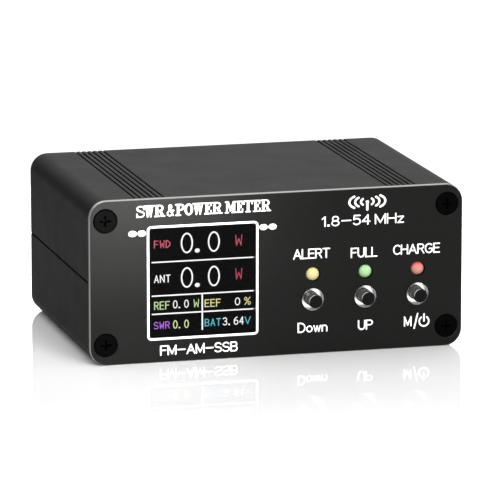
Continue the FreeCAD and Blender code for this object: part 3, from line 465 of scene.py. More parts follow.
buttonFinish = {
    "black": "#0a0a0a",
    # the grey below is painted light on the side of the stem, where it faces up and to the left
    "satin": "#424241",
    # the pale grey below is a painted highlight on the rounded edge of the tip
    "paintedHighlight": "#a4a4a1",
    "grain": 0.3,
    "relief": 0.003,
    "roughness": (0.26, 0.38),
    # the side the painted light comes from: up and to the left
    "paintedHighlightSide": (-0.75, 0.0, 0.66),
    "paintedLitGreyFrom": (0.1, 0.55),
    "paintedHighlightFrom": (0.42, 0.64),
    "edge": (0.74, 0.2),  # how far the rounded edge looks forward, and how much more or less still counts
}


def paintedLightAbs(tree, coords, finish):
    # ABS, injection moulded: the tip is black and smooth, a painted highlight lies pale on its rounded edge
    # where it faces up and to the left, and the side is painted grey where it faces that way, patchy with the
    # grain
    outward = addNode(tree, "SeparateXYZ", {"Vector": coords["Normal"]}).outputs
    facing = addNode(tree, "Math", {"operation": "ABSOLUTE", 0: outward["Y"]})
    # how nearly a face turns towards the side the painted light comes from
    towardLight = addNode(tree, "VectorMath", {
        "operation": "DOT_PRODUCT", 0: coords["Normal"], 1: finish["paintedHighlightSide"]})
    grain = addNode(tree, "TexNoise", {
        "Scale": 1 / (finish["grain"] * mm), "Detail": 3.0, "Vector": coords["Object"]})
    # the side is painted grey where it faces the painted light, patchy with the grain
    grainyTowardLight = addNode(tree, "Math", {"operation": "MULTIPLY", 0: towardLight, 1: grain})
    satin, highlightShare = (addNode(tree, "MapRange", {"From Min": finish[span][0], "From Max": finish[span][1],
                                                "Value": amount})
                     for amount, span in ((grainyTowardLight, "paintedLitGreyFrom"), (towardLight, "paintedHighlightFrom")))
    side = addNode(tree, "Mix", {
        "data_type": "RGBA", 0: satin, 6: linear(finish["black"]), 7: linear(finish["satin"])})
    middle, reach = finish["edge"]
    edge = addNode(tree, "Math", {"operation": "COMPARE", 0: facing, 1: middle, 2: reach})
    # the painted highlight: the rounded edge of the tip, where it faces up and to the left
    paintedHighlight = addNode(tree, "Math", {"operation": "MULTIPLY", 0: edge, 1: highlightShare})
    colour = addNode(tree, "Mix", {"data_type": "RGBA", 0: paintedHighlight, 6: side, 7: linear(finish["paintedHighlight"])})
    low, high = finish["roughness"]
    gloss = addNode(tree, "MapRange", {"To Min": low, "To Max": high, "Value": grain})
    bump = addNode(tree, "Bump", {"Strength": 0.5, "Distance": finish["relief"] * mm, "Height": grain})
    return {"Specular IOR Level": 0.07, "Base Color": colour, "Roughness": gloss, "Normal": bump}


boardFinish = {
    "laminate": "#0d3b1c",
    "overCopper": "#17562a",
    "trackSpacing": 2.6,
    "trackFold": 0.12,
    "trackEdge": (0.045, 0.065),
    "copperHeight": 0.035,
    "roughness": 0.26,
}


def solderMask(tree, coords, finish):
    # FR-4 with green solder mask: a glossy film, lighter over the copper tracks below it
    tracks = addNode(tree, "TexVoronoi", {
        "distance": "MANHATTAN", "feature": "F1", "Scale": 1 / (finish["trackSpacing"] * mm),
        "Vector": coords["Object"]})
    lines = addNode(tree, "Math", {"operation": "PINGPONG", 0: tracks, 1: finish["trackFold"]})
    start, end = finish["trackEdge"]
    copper = addNode(tree, "MapRange", {"From Min": start, "From Max": end, "Value": lines})
    colour = addNode(tree, "Mix", {
        "data_type": "RGBA", 0: copper, 6: linear(finish["laminate"]), 7: linear(finish["overCopper"])})
    bump = addNode(tree, "Bump", {
        "Strength": 0.5, "Distance": finish["copperHeight"] * mm, "Height": copper})
    return {"Roughness": finish["roughness"], "IOR": 1.5, "Base Color": colour, "Normal": bump}


inkFinish = {
    "thin": "#e9e9e6",
    "full": "#fbfbfa",
    "meshSize": 0.25,
    "relief": 0.01,
    "roughness": (0.45, 0.6),
}


def printedInk(tree, coords, finish):
    # white epoxy ink, screen printed and baked: opaque, a little uneven where the mesh laid it down
    mesh = addNode(tree, "TexNoise", {
        "Scale": 1 / (finish["meshSize"] * mm), "Detail": 2.0, "Vector": coords["Object"]})
    low, high = finish["roughness"]
    gloss = addNode(tree, "MapRange", {"To Min": low, "To Max": high, "Value": mesh})
    colour = addNode(tree, "Mix", {
        "data_type": "RGBA", 0: mesh, 6: linear(finish["thin"]), 7: linear(finish["full"])})
    bump = addNode(tree, "Bump", {"Strength": 0.4, "Distance": finish["relief"] * mm, "Height": mesh})
    return {"IOR": 1.5, "Base Color": colour, "Roughness": gloss, "Normal": bump}


def litDots(tree, coords, colour, strength):
    # liquid crystal dots over a backlight: plain light, with the gaps between the dots just visible
    dots = addNode(tree, "TexChecker", {
        "Scale": 1 / (glassFinish["dotSize"] * mm), "Color1": linear("#ffffff"),
        "Color2": linear("#f3f3f3"), "Vector": coords["Object"]})
    tint = addNode(tree, "Mix", {
        "data_type": "RGBA", "blend_type": "MULTIPLY", 0: 1.0, 6: linear(colour), 7: dots})
    return {"Base Color": linear("#101010"), "Roughness": 0.4, "Emission Strength": strength,
            "Emission Color": tint}


floorFinish = {
    "colour": "#c4c4c4",
    "hazeSize": 1000 / 6,
    "roughness": (0.01, 0.02),
    "size": 6.0,  # this and the next in metres
    "middleY": 1.2,
    "cuts": 8,
}


def glossyFloor(tree, coords, finish):
    # white acrylic sheet, polished: pale, with a faint mirror image of what stands on it
    haze = addNode(tree, "TexNoise", {
        "Scale": 1 / (finish["hazeSize"] * mm), "Detail": 3.0, "Vector": coords["Object"]})
    low, high = finish["roughness"]
    gloss = addNode(tree, "MapRange", {"To Min": low, "To Max": high, "Value": haze})
    return {"Base Color": linear(finish["colour"]), "IOR": 1.49, "Roughness": gloss}


# the paler heart and the deeper rim and crown are painted light on the lens's own colour
# rim, heart and crown of each lamp, and its node
lensColours = {
    "lamp_yellow": ("#b0a272", "#beb080", "#b8aa70", "alert_lamp"),
    "lamp_green": ("#84a87c", "#92bc86", "#8ab27e", "full_lamp"),
    "lamp_red": ("#a06a64", "#b47a6e", "#b8443f", "charge_lamp"),
}


def dressNodes():
    made = {slot: makeMaterial(name, grainedFinish, finish) for name, finish in finishes.items()
            for slot in finish["slots"].split()}
    made["front_anodised"] = makeMaterial("milledBlackAnodisedSheet", cutAnodisedAluminium, panelFinish)
    made["clear_acrylic"] = makeMaterial("castAcrylic", castAcrylic, acrylicFinish)
    made["screen_glass"] = makeMaterial("polarisedGlass", displayGlass, glassFinish)
    made["board_laminate"] = makeMaterial("solderMaskedLaminate", solderMask, boardFinish)
    # black ABS with painted light: a painted highlight on the tip's edge and a painted grey on the side
    made["button_plastic"] = makeMaterial("paintedLightBlackAbs", paintedLightAbs, buttonFinish)
    for slot, lens in lensColours.items():
        made[slot] = makeMaterial("diffusedEpoxy_" + slot, diffusedLens, *lens, lensFinish)
    for part in frame["record"]["subparts"]:
        obj = nodes[part["node"]]
        obj.data.materials.clear()
        obj.data.materials.append(made[part["material_slot"]])
    return made


def selectOnly(obj):
    bpy.ops.object.select_all(action="DESELECT")
    obj.select_set(True)
    bpy.context.view_layer.objects.active = obj


def finishPiece(obj, name, body, material):
    selectOnly(obj)
    bpy.ops.object.transform_apply(location=True, rotation=True, scale=True)
    obj.name = name
    obj.data.name = name
    obj.data.materials.clear()
    obj.data.materials.append(material)
    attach(obj, body)
    obj.select_set(False)


# Strokes of one-line letters, with a cap height of 1. Two values are a point; six are an arc: its middle,
# its two radii, and the angles where it starts and ends.
letters = {
    "A": [[(0, 0), (0.42, 1), (0.84, 0)], [(0.16, 0.33), (0.68, 0.33)]],
    "B": [[(0, 0), (0, 1), (0.38, 0.76, 0.26, 0.24, 90, -90), (0, 0.52)],
          [(0.4, 0.26, 0.28, 0.26, 90, -90), (0, 0)]],
    "C": [[(0.43, 0.5, 0.43, 0.5, 48, 312)]],
    "D": [[(0, 0), (0, 1), (0.3, 0.5, 0.42, 0.5, 90, -90), (0, 0)]],
    "E": [[(0.66, 1), (0, 1), (0, 0), (0.66, 0)], [(0, 0.52), (0.58, 0.52)]],
    "F": [[(0.64, 1), (0, 1), (0, 0)], [(0, 0.52), (0.54, 0.52)]],
    "G": [[(0.43, 0.5, 0.43, 0.5, 48, 322)], [(0.8, 0.18), (0.8, 0.46), (0.48, 0.46)]],
    "H": [[(0, 0), (0, 1)], [(0.72, 0), (0.72, 1)], [(0, 0.52), (0.72, 0.52)]],
    "L": [[(0, 1), (0, 0), (0.58, 0)]],
    "M": [[(0, 0), (0, 1), (0.42, 0.1), (0.84, 1), (0.84, 0)]],
    "N": [[(0, 0), (0, 1), (0.7, 0), (0.7, 1)]],
    "P": [[(0, 0), (0, 1), (0.4, 0.74, 0.28, 0.26, 90, -90), (0, 0.48)]],
    "R": [[(0, 0), (0, 1), (0.4, 0.75, 0.28, 0.25, 90, -90), (0, 0.5)], [(0.38, 0.5), (0.7, 0)]],
    "S": [[(0.36, 0.75, 0.33, 0.25, 25, 270), (0.36, 0.25, 0.36, 0.25, 90, -155)]],
    "T": [[(0, 1), (0.76, 1)], [(0.38, 1), (0.38, 0)]],
    "U": [[(0, 1), (0, 0.36), (0.36, 0.36, 0.36, 0.36, 180, 360), (0.72, 1)]],
    "V": [[(0, 1), (0.38, 0), (0.76, 1)]],
    "X": [[(0, 0), (0.74, 1)], [(0, 1), (0.74, 0)]],
    "o": [[(0.29, 0.32, 0.29, 0.32, 90, 450)]],
    "w": [[(0, 0.64), (0.18, 0), (0.35, 0.6), (0.52, 0), (0.7, 0.64)]],
    "n": [[(0, 0), (0, 0.64)], [(0.25, 0.38, 0.25, 0.26, 170, 0), (0.5, 0)]],
    "z": [[(0, 0.64), (0.46, 0.64), (0, 0), (0.46, 0)]],
    "0": [[(0.3, 0.5, 0.3, 0.5, 90, 450)]],
    "1": [[(0.05, 0.8), (0.28, 1), (0.28, 0)]],
    "3": [[(0.28, 0.76, 0.27, 0.24, 150, -90), (0.28, 0.26, 0.3, 0.26, 90, -150)]],
    "4": [[(0.46, 0), (0.46, 1), (0, 0.3), (0.62, 0.3)]],
    "5": [[(0.56, 1), (0.08, 1), (0.04, 0.56), (0.28, 0.33, 0.31, 0.33, 130, -145)]],
    "6": [[(0.3, 0.3, 0.29, 0.3, 0, 360)], [(0.52, 0.42, 0.51, 0.58, 185, 95)]],
    "8": [[(0.3, 0.76, 0.25, 0.24, 90, 450)], [(0.3, 0.27, 0.3, 0.27, 90, 450)]],
    ".": [[(0, 0.01), (0.1, 0.01)], [(0, 0.09), (0.1, 0.09)]],
    "-": [[(0, 0.5), (0.76, 0.5)]],
    "%": [[(0.05, 0), (0.6, 1)], [(0.14, 0.8, 0.13, 0.2, 90, 450)], [(0.52, 0.2, 0.13, 0.2, 90, 450)]],
    " ": [],
}

# extra room either side of a sign, as a share of the cap height
padding = {"-": 0.06, ".": 0.05}

# the strokes of heavy slab letters, whose thick stems are two strokes side by side
slabLetters = {
    "S": [[(0.58, 1), (0.58, 0.72)], [(0.3, 0.77, 0.27, 0.23, 35, 270), (0.3, 0.26, 0.29, 0.26, 90, -150)],
          [(0.14, 0.66), (0.46, 0.42)], [(0.02, 0), (0.02, 0.28)]],
    "W": [[(0, 1), (0.32, 1)], [(0.42, 1), (0.6, 1)], [(0.72, 1), (0.98, 1)], [(0.12, 1), (0.29, 0)],
          [(0.22, 1), (0.35, 0.2)], [(0.29, 0), (0.47, 0.86)], [(0.46, 1), (0.64, 0)],
          [(0.55, 1), (0.69, 0.2)], [(0.64, 0), (0.85, 1)]],
    "R": [[(0, 0), (0.42, 0)], [(0, 1), (0.46, 1), (0.46, 0.76, 0.26, 0.24, 90, -90), (0.2, 0.52)],
          [(0.14, 0), (0.14, 1)], [(0.24, 0), (0.24, 1)], [(0.48, 0.76, 0.18, 0.22, 75, -75)],
          [(0.44, 0.5), (0.62, 0), (0.86, 0)], [(0.56, 0.5), (0.74, 0.04)]],
    "&": [[(0.66, 0.02), (0.18, 0.68), (0.33, 0.82, 0.15, 0.18, 200, -60), (0.14, 0.4),
           (0.28, 0.22, 0.26, 0.22, 140, 350), (0.6, 0.46)], [(0.5, 0.48), (0.7, 0.48)]],
    "P": [[(0, 0), (0.42, 0)], [(0, 1), (0.44, 1), (0.44, 0.74, 0.28, 0.26, 90, -90), (0.2, 0.48)],
          [(0.16, 0), (0.16, 1)], [(0.27, 0), (0.27, 1)], [(0.44, 0.74, 0.19, 0.24, 90, -90)]],
    "O": [[(0.35, 0.5, 0.35, 0.5, 90, 450)], [(0.35, 0.5, 0.25, 0.48, 90, 450)]],
    "E": [[(0, 0), (0.58, 0), (0.6, 0.26)], [(0, 1), (0.56, 1), (0.58, 0.76)], [(0.14, 0), (0.14, 1)],
          [(0.25, 0), (0.25, 1)], [(0.25, 0.52), (0.42, 0.52)], [(0.42, 0.62), (0.42, 0.42)]],
    "M": [[(0, 0), (0.26, 0)], [(0.6, 0), (0.94, 0)], [(0, 1), (0.22, 1)], [(0.72, 1), (0.94, 1)],
          [(0.13, 0), (0.13, 1)], [(0.16, 1), (0.44, 0.16)], [(0.26, 1), (0.5, 0.24)],
          [(0.46, 0.18), (0.72, 1)], [(0.72, 0), (0.72, 1)], [(0.82, 0), (0.82, 1)]],
    "T": [[(0.2, 0), (0.56, 0)], [(0.02, 0.74), (0.02, 1), (0.74, 1), (0.74, 0.74)],
          [(0.33, 0), (0.33, 1)], [(0.43, 0), (0.43, 1)]],
}

# the square letters of the screen, where they differ
screenLetters = {
    "W": [[(0, 1), (0.08, 0), (0.3, 0.62), (0.52, 0), (0.6, 1)]],
    "D": [[(0, 0), (0, 1), (0.2, 1), (0.6, 0.66), (0.6, 0.34), (0.2, 0), (0, 0)]],
}


penSettings = {
    "arcStep": 18,  # degrees between the points of an arc
    "fewestSteps": 3,
    "sameSpot": 1e-4,
    "sharpTurn": 32,  # degrees
    "capAngles": (84, 60, 30),  # degrees from the end of a line, for the points of its round end
    "wordGap": 0.3,
    "cellShare": 0.66,  # how much of its cell a letter fills, and where in it the letter starts
    "cellStart": 0.08,
}


def strokePoints(stroke):
    points = []
    for item in stroke:
        if len(item) == 2:
            new = [Vector(item)]
        else:
            x, z, rx, rz, start, end = item
            steps = max(penSettings["fewestSteps"], round(abs(end - start) / penSettings["arcStep"]))
            angles = [math.radians(start + (end - start) * n / steps) for n in range(steps + 1)]
            new = [Vector((x + rx * math.cos(a), z + rz * math.sin(a))) for a in angles]
        points += [p for n, p in enumerate(new)
                   if n or not points or (p - points[-1]).length > penSettings["sameSpot"]]
    return points


def splitAtCorners(points):
    # a pen line pinches at a sharp corner, so each side of it is a line of its own, with round ends
    runs = [[points[0]]]
    for n in range(1, len(points)):
        runs[-1].append(points[n])
        if n < len(points) - 1:
            turn = (points[n] - points[n - 1]).angle(points[n + 1] - points[n])
            if turn > math.radians(penSettings["sharpTurn"]):
                runs.append([points[n]])
    return runs


def letterStrokes(text, spacing, style=None, cell=None):
    # with a cell, every letter takes the same width, as on a screen, and a point keeps to its left
    alphabet = {**letters, **(style or {})}
    strokes, x = [], 0.0
    for character in text:
        if character == " ":
            x += cell or penSettings["wordGap"]
            continue
        lines = [strokePoints(stroke) for stroke in alphabet[character]]
        left = min(p.x for line in lines for p in line)
        right = max(p.x for line in lines for p in line)
        if cell:
            scale = penSettings["cellShare"] * cell / (right - left) if character != "." else 1
            start = x + penSettings["cellStart"] * cell
            strokes += [[Vector((start + (p.x - left) * scale, p.y)) for p in line] for line in lines]
            x += cell
        else:
            x += padding.get(character, 0)
            strokes += [[p + Vector((x - left, 0)) for p in line] for line in lines]
            x += right - left + spacing + padding.get(character, 0)
    return strokes


def fitStrokes(strokes, left, right, bottom, top, pen, facing):
    # stretches the strokes so that their ink fills the given rectangle
    xs = [p.x for line in strokes for p in line]
    zs = [p.y for line in strokes for p in line]
    low, high = (min(xs), min(zs)), (max(xs), max(zs))
    scaleX = (right - left - pen) / (high[0] - low[0])
    scaleZ = (top - bottom - pen) / (high[1] - low[1])
    middle = (left + right) / 2
    fitted = []
    for line in strokes:
        points = [(left + pen / 2 + (p.x - low[0]) * scaleX, bottom + pen / 2 + (p.y - low[1]) * scaleZ)
                  for p in line]
        fitted.append([Vector((middle + facing * (x - middle), z)) for x, z in points])
    return fitted


def straight(x0, z0, x1, z1):
    return [Vector((x0, z0)), Vector((x1, z1))]


def penLines(name, lines, pen, y, lift, material):
    # each line is a round bar with round ends, then the whole is pressed flat on the surface; sizes in mm
    bpy.ops.object.select_all(action="DESELECT")
    bpy.ops.object.add(type="CURVE")
    curve = bpy.context.object.data
    curve.dimensions = "3D"
    curve.bevel_depth = pen / 2 * mm
    curve.bevel_resolution = 1
    curve.use_fill_caps = True
    for line in lines:
        for run in splitAtCorners(line):
            start = (run[0] - run[1]).normalized() * pen / 2
            end = (run[-1] - run[-2]).normalized() * pen / 2
            angles = [math.radians(angle) for angle in penSettings["capAngles"]]
            caps = [(math.sin(angle), math.cos(angle)) for angle in angles]
            points = [(run[0] + start * s, c) for s, c in caps] + [(p, 1.0) for p in run]
            points += [(run[-1] + end * s, c) for s, c in reversed(caps)]
            spline = curve.splines.new("POLY")
            spline.points.add(len(points) - 1)
            for target, (p, width) in zip(spline.points, points):
                target.co = (p.x * mm, 0, p.y * mm, 1)
                target.radius = width
    bpy.ops.object.convert(target="MESH")
    obj = bpy.context.object
    obj.scale = (1, lift / (pen / 2), 1)
    obj.location = (0, y, 0)
    bpy.ops.object.shade_smooth()
    finishPiece(obj, name, "case", material)


legends = {
    "spacing": 0.2,
    "lift": 0.03,
    "front": {"pen": 0.37, "y": faceY, "facing": 1},
    "rear": {"pen": 0.42, "y": rearFaceY, "facing": -1},
}

# in mm: a text's width, how far aside of its control and how far above the middle of it the text stands
controlLegends = {
    "alert_lamp": ("ALERT", 8.8, -0.35, 3.6),
    "full_lamp": ("FULL", 6.4, -0.38, 3.25),
    "charge_lamp": ("CHARGE", 11.3, -0.33, 3.4),
    "down_button": ("Down", 7.15, -0.08, -7.7),
    "up_button": ("UP", 3.65, 0.03, -7.85),
    "mode_button": ("M", 1.9, -2.32, -7.65),
}
frontLegends = {
    "controlHeight": 2.42,
    "titleStart": -15.5,
    "titleRows": (2.72, 5.5),
    "titlePen": 0.34,
    "modes": ("FM-AM-SSB", -10.1, 8.2, -4.3, -1.9),
    "range": ("1.8-54 MHz", 10.35, 30.0, 29.42, 31.9),
}

# the letters of the title, each with its left and right end in mm from the start of the line
titleLetters = [
    ("S", 0.0, 2.0), ("W", 1.85, 4.25), ("R", 4.15, 6.75), ("&", 7.1, 8.85), ("P", 9.05, 11.25),
    ("O", 11.2, 13.25), ("W", 13.1, 15.9), ("E", 15.8, 17.6), ("R", 17.6, 20.15), ("M", 20.65, 23.4),
    ("E", 23.3, 25.0), ("T", 25.0, 27.25), ("E", 27.25, 29.05), ("R", 29.05, 31.55),
]

windowFrame = {
    "width": 0.6,
    "gap": 0.1,
    "corner": 0.75,
    "dotPen": 1.6,
    "dotLong": 0.35,
    "dotsBelow": 1.6,
    "dotsAway": (1.15, 3.3),
}


def printText(name, text, left, right, bottom, top, side, ink):
    strokes = letterStrokes(text, legends["spacing"])
    strokes = fitStrokes(strokes, left, right, bottom, top, side["pen"], side["facing"])
    penLines(name, strokes, side["pen"], side["y"], legends["lift"], ink)


def frameRoundWindow(ink):
    low, high = (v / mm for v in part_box("display_window"))
    half = windowFrame["width"] / 2 + windowFrame["gap"]
    outer = windowFrame["width"] + windowFrame["gap"]
    left, right, bottom, top = low.x - half, high.x + half, low.z - half, high.z + half
    r = windowFrame["corner"]
    middle = (left + right) / 2
    ring = strokePoints([(middle, top), (right - r, top - r, r, r, 90, 0),
                         (right - r, bottom + r, r, r, 0, -90), (left + r, bottom + r, r, r, -90, -180),
                         (left + r, top - r, r, r, 180, 90), (middle, top)])
    penLines("windowFrame", [ring], windowFrame["width"], faceY, legends["lift"], ink)
    z = high.z + outer - windowFrame["dotsBelow"]
    reach = windowFrame["dotLong"] / 2
    dots = [straight(x - reach, z, x + reach, z) for away in windowFrame["dotsAway"]
            for x in (low.x - outer - away, high.x + outer + away)]
    penLines("windowDots", dots, windowFrame["dotPen"], faceY, legends["lift"], ink)


def printFrontLegends(ink):
    low, high = (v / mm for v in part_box("display_window"))
    middle = (low.x + high.x) / 2
    pen, strokes = frontLegends["titlePen"], []
    start = middle + frontLegends["titleStart"]
    bottom, top = (high.z + row for row in frontLegends["titleRows"])
    for letter, left, right in titleLetters:
        strokes += fitStrokes(letterStrokes(letter, 0, slabLetters), start + left, start + right, bottom,
                              top, pen, 1)
    penLines("titleLegend", strokes, pen, faceY, legends["lift"], ink)
    text, left, right, bottom, top = frontLegends["modes"]
    printText("modesLegend", text, middle + left, middle + right, low.z + bottom, low.z + top,
              legends["front"], ink)
    for node, (text, width, aside, rise) in controlLegends.items():
        control = sum(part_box(node), Vector()) / 2 / mm
        left, bottom = control.x + aside - width / 2, control.z + rise
        top = bottom + frontLegends["controlHeight"]
        printText(node + "Legend", text, left, left + width, bottom, top, legends["front"], ink)


# places in mm from the middle of the mode button
powerSign = {
    "slash": (-0.77, -8.1, 0.03, -4.75),
    "x": 1.58,
    "z": -6.6,
    "radius": 1.15,
    "arc": (125, 415),
    "bar": (0.1, 1.6675),
    "pen": 0.43,
}


def printPowerSign(ink):
    button = sum(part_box("mode_button"), Vector()) / 2 / mm
    x0, z0, x1, z1 = powerSign["slash"]
    x, z, r = button.x + powerSign["x"], button.z + powerSign["z"], powerSign["radius"]
    start, end = powerSign["bar"]
    strokes = [straight(button.x + x0, button.z + z0, button.x + x1, button.z + z1),
               strokePoints([(x, z, r, r, *powerSign["arc"])]), straight(x, z + start, x, z + end)]
    penLines("powerSign", strokes, powerSign["pen"], faceY, legends["lift"], ink)


def printRangeLegend(ink):
    text, left, right, bottom, top = frontLegends["range"]
    printText("rangeLegend", text, left, right, bottom, top, legends["front"], ink)


# an antenna with waves either side of it: each has its reach across and up, and "curl" is how much of the
# reach across is its curve
radioSign = {
    "x": 21.2,
    "bottom": 33.0,
    "hub": 34.815,
    "hubReach": 0.14,
    "waves": ((1.5, 0.75), (2.9, 1.15), (4.3, 1.5)),
    "curl": 0.55,
    "sweep": 60,
    "pen": 0.58,
}


def printRadioSign(ink):
    x, hub, reach, curl = (radioSign[key] for key in ("x", "hub", "hubReach", "curl"))
    strokes = [straight(x, radioSign["bottom"], x, hub), straight(x - reach, hub, x + reach, hub)]
    for side, outward in ((0, 1), (180, -1)):
        for across, up in radioSign["waves"]:
            strokes.append(strokePoints([(x + outward * across * (1 - curl), hub, across * curl, up,
                                          side - radioSign["sweep"], side + radioSign["sweep"])]))
    penLines("radioSign", strokes, radioSign["pen"], faceY, legends["lift"], ink)


rearLegends = {
    "height": 2.4,
    "sockets": {"transmitter_socket": ("TX", 4.0, 1.5), "antenna_socket": ("ANT", 6.4, 1.5)},
    "port": ("5V", 3.8, 2.2),
}


def printRearText(name, box, text, width, above, ink):
    low, high = (v / mm for v in box)
    left, bottom = (low.x + high.x - width) / 2, high.z + above
    printText(name, text, left, left + width, bottom, bottom + rearLegends["height"], legends["rear"], ink)


def printRearLegends(ink):
    for node, (text, width, above) in rearLegends["sockets"].items():
        printRearText(node + "Legend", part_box(node), text, width, above, ink)
    text, width, above = rearLegends["port"]
    printRearText("chargingPortLegend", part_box("charging_socket_shell"), text, width, above, ink)


# what the screen shows; places in mm from the middle of the window
screen = {
    "cell": 0.8,
    "lift": 0.02,
    "linePen": 0.36,
    "rows": (4.55, -3.25, -7.48),
    "rowSpan": (-11.5, 12.1),
    "column": (0.2, -3.25, -11.6),
}

# text, left, right, bottom, top, pen and colour of each reading
readings = [
    ("FWD", -11.1, -7.2, 7.75, 9.6, 0.26, "rose"),
    ("ANT", -11.1, -7.2, -0.25, 1.6, 0.26, "white"),
    ("0", -4.85, -1.9, 6.25, 11.1, 0.42, "white"),
    ("0", 1.5, 4.4, 6.25, 11.1, 0.42, "white"),
    ("0", -4.85, -1.9, -1.75, 3.1, 0.42, "white"),
    ("0", 1.5, 4.4, -1.75, 3.1, 0.42, "white"),
    ("W", 7.95, 9.65, 7.4, 10.0, 0.26, "rose"),
    ("W", 7.95, 9.65, -0.4, 2.2, 0.26, "rose"),
    ("REF", -11.1, -7.4, -6.5, -4.55, 0.25, "paleGreen"),
    ("0.0", -6.7, -2.95, -6.4, -4.45, 0.25, "white"),
    ("W", -1.85, -0.55, -6.4, -4.45, 0.22, "paleGreen"),
    ("EEF", 0.75, 4.55, -6.5, -4.65, 0.25, "paleYellow"),
    ("0", 7.85, 9.15, -6.5, -4.6, 0.25, "white"),
    ("%", 10.05, 11.65, -6.5, -4.6, 0.22, "paleYellow"),
    ("SWR", -11.2, -7.4, -11.0, -9.25, 0.25, "purple"),
    ("0.0", -6.7, -2.95, -11.1, -9.1, 0.25, "yellowGreen"),
    ("BAT", 0.75, 4.6, -11.0, -9.2, 0.25, "cyan"),
    ("3.64", 5.0, 10.0, -11.0, -9.1, 0.25, "white"),
    ("V", 10.15, 11.65, -11.0, -9.2, 0.25, "cyan"),
]

# the decimal points of the two large readings
pointMarks = {"places": ((-0.95, 6.8), (-0.95, -1.2)), "reach": 0.02, "pen": 1.15}

screenColours = {
    "white": ("#ffffff", 1.0),
    "rose": ("#cf3152", 0.75),
    "paleGreen": ("#c8e6a0", 0.9),
    "paleYellow": ("#ece39a", 0.9),
    "yellowGreen": ("#e4f0a8", 0.95),
    "purple": ("#b35ae0", 0.9),
    "cyan": ("#4fc0d0", 0.9),
}


def drawScreen():
    low, high = (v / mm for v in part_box("display_window"))
    middle = (low + high) / 2
    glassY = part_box("lcd_glass")[0].y
    groups = {name: [] for name in screenColours}
    for text, left, right, bottom, top, pen, colour in readings:
        strokes = letterStrokes(text, 0, screenLetters, screen["cell"])
        strokes = fitStrokes(strokes, middle.x + left, middle.x + right, middle.z + bottom, middle.z + top,
                             pen, 1)
        groups[colour].append((strokes, pen))
    left, right = (middle.x + x for x in screen["rowSpan"])
    rules = [straight(left, middle.z + z, right, middle.z + z) for z in screen["rows"]]
    x, top, bottom = screen["column"]
    rules.append(straight(middle.x + x, middle.z + top, middle.x + x, middle.z + bottom))
    groups["white"].append((rules, screen["linePen"]))
    reach = pointMarks["reach"]
    points = [straight(middle.x + x - reach, middle.z + z, middle.x + x + reach, middle.z + z)
              for x, z in pointMarks["places"]]
    groups["white"].append((points, pointMarks["pen"]))
    for name, parts in groups.items():
        material = makeMaterial("litDots_" + name, litDots, *screenColours[name])
        for n, (strokes, pen) in enumerate(parts):
            penLines(f"screen_{name}_{n}", strokes, pen, glassY, screen["lift"], material)


# the thread of the coaxial sockets, in mm
threadCut = {
    "radius": 7.94,
    "pitch": 1.058,
    "depth": 0.58,
    "clearOfFlange": 1.3,
    "flange": 1.8,
    "segments": 48,
    "cutterShape": (0.8, 1.35, 1),
    "weld": 0.001,
    "smoothBelow": 28,  # degrees
}


def weldPoints():
    bpy.ops.object.mode_set(mode="EDIT")
    bpy.ops.mesh.select_all(action="SELECT")
    bpy.ops.mesh.remove_doubles(threshold=threadCut["weld"] * mm)


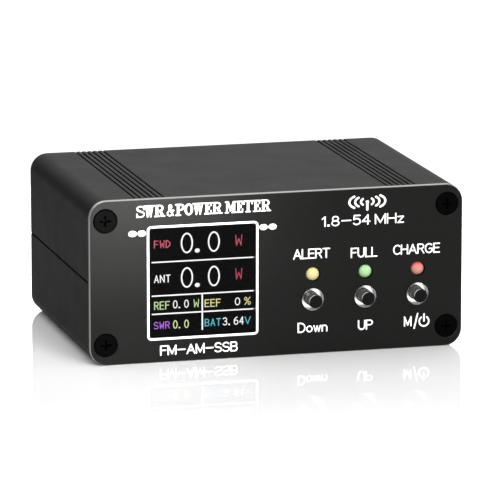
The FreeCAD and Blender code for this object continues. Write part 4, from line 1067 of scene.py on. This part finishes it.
def threadCutter(place, turns):
    # a triangle carried round the barrel and along it
    bpy.ops.mesh.primitive_circle_add(vertices=3, radius=threadCut["depth"] * mm, fill_type="NGON",
                                      location=(threadCut["radius"] * mm, 0, 0),
                                      rotation=(0, 0, math.pi / 2))
    cutter = bpy.context.object
    cutter.scale = threadCut["cutterShape"]
    bpy.ops.object.transform_apply(location=True, rotation=True, scale=True)
    screw = cutter.modifiers.new("thread", "SCREW")
    screw.axis = "Y"
    screw.angle = 2 * math.pi
    screw.steps = screw.render_steps = threadCut["segments"]
    screw.iterations = turns
    screw.screw_offset = threadCut["pitch"] * mm
    screw.use_merge_vertices = True
    bpy.ops.object.modifier_apply(modifier="thread")
    weldPoints()
    bpy.ops.mesh.select_all(action="DESELECT")
    bpy.ops.mesh.select_non_manifold(extend=False, use_wire=False, use_multi_face=False,
                                     use_non_contiguous=False, use_verts=False)
    bpy.ops.mesh.edge_face_add()  # closes both ends
    bpy.ops.mesh.select_all(action="SELECT")
    bpy.ops.mesh.normals_make_consistent(inside=False)
    bpy.ops.object.mode_set(mode="OBJECT")
    cutter.location = place
    bpy.context.view_layer.update()
    return cutter


def threadedSocket(node, material):
    low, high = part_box(node)
    start = rearFaceY + (threadCut["flange"] + threadCut["clearOfFlange"]) * mm
    turns = math.ceil((high.y - start) / (threadCut["pitch"] * mm)) + 1
    obj = nodes[node].copy()
    obj.data = nodes[node].data.copy()
    obj.parent = None
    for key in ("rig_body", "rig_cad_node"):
        if key in obj:
            del obj[key]
    bpy.context.scene.collection.objects.link(obj)
    selectOnly(obj)
    weldPoints()
    bpy.ops.object.mode_set(mode="OBJECT")
    cutter = threadCutter(((low.x + high.x) / 2, start, (low.z + high.z) / 2), turns)
    selectOnly(obj)
    cut = obj.modifiers.new("cut", "BOOLEAN")
    cut.operation = "DIFFERENCE"
    cut.solver = "EXACT"
    cut.object = cutter
    bpy.ops.object.modifier_apply(modifier="cut")
    bpy.data.objects.remove(cutter)
    bpy.ops.object.shade_smooth_by_angle(angle=math.radians(threadCut["smoothBelow"]))
    finishPiece(obj, node + "Threaded", "case", material)
    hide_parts(node)
    print(node, "threaded:", len(obj.data.polygons), "faces")


def layFloor():
    cuts = floorFinish["cuts"]
    bpy.ops.mesh.primitive_grid_add(x_subdivisions=cuts, y_subdivisions=cuts, size=floorFinish["size"],
                                    location=(0, floorFinish["middleY"], floorLevel))
    floor = bpy.context.object
    floor.name = "floor"
    floor.data.materials.append(makeMaterial("polishedWhiteAcrylicSheet", glossyFloor, floorFinish))


placeCamera(cameraSettings)
layFloor()
placeLights()
print("camera, floor and lights placed")

made = dressNodes()
print("materials on", len(nodes), "nodes")

whiteInk = makeMaterial("bakedWhiteInk", printedInk, inkFinish)
frameRoundWindow(whiteInk)
printFrontLegends(whiteInk)
printPowerSign(whiteInk)
printRangeLegend(whiteInk)
printRadioSign(whiteInk)
printRearLegends(whiteInk)
print("legends printed")

drawScreen()
print("screen drawn")

for socketNode in ("transmitter_socket", "antenna_socket"):
    threadedSocket(socketNode, made["nickel_plate"])
print("sockets threaded")
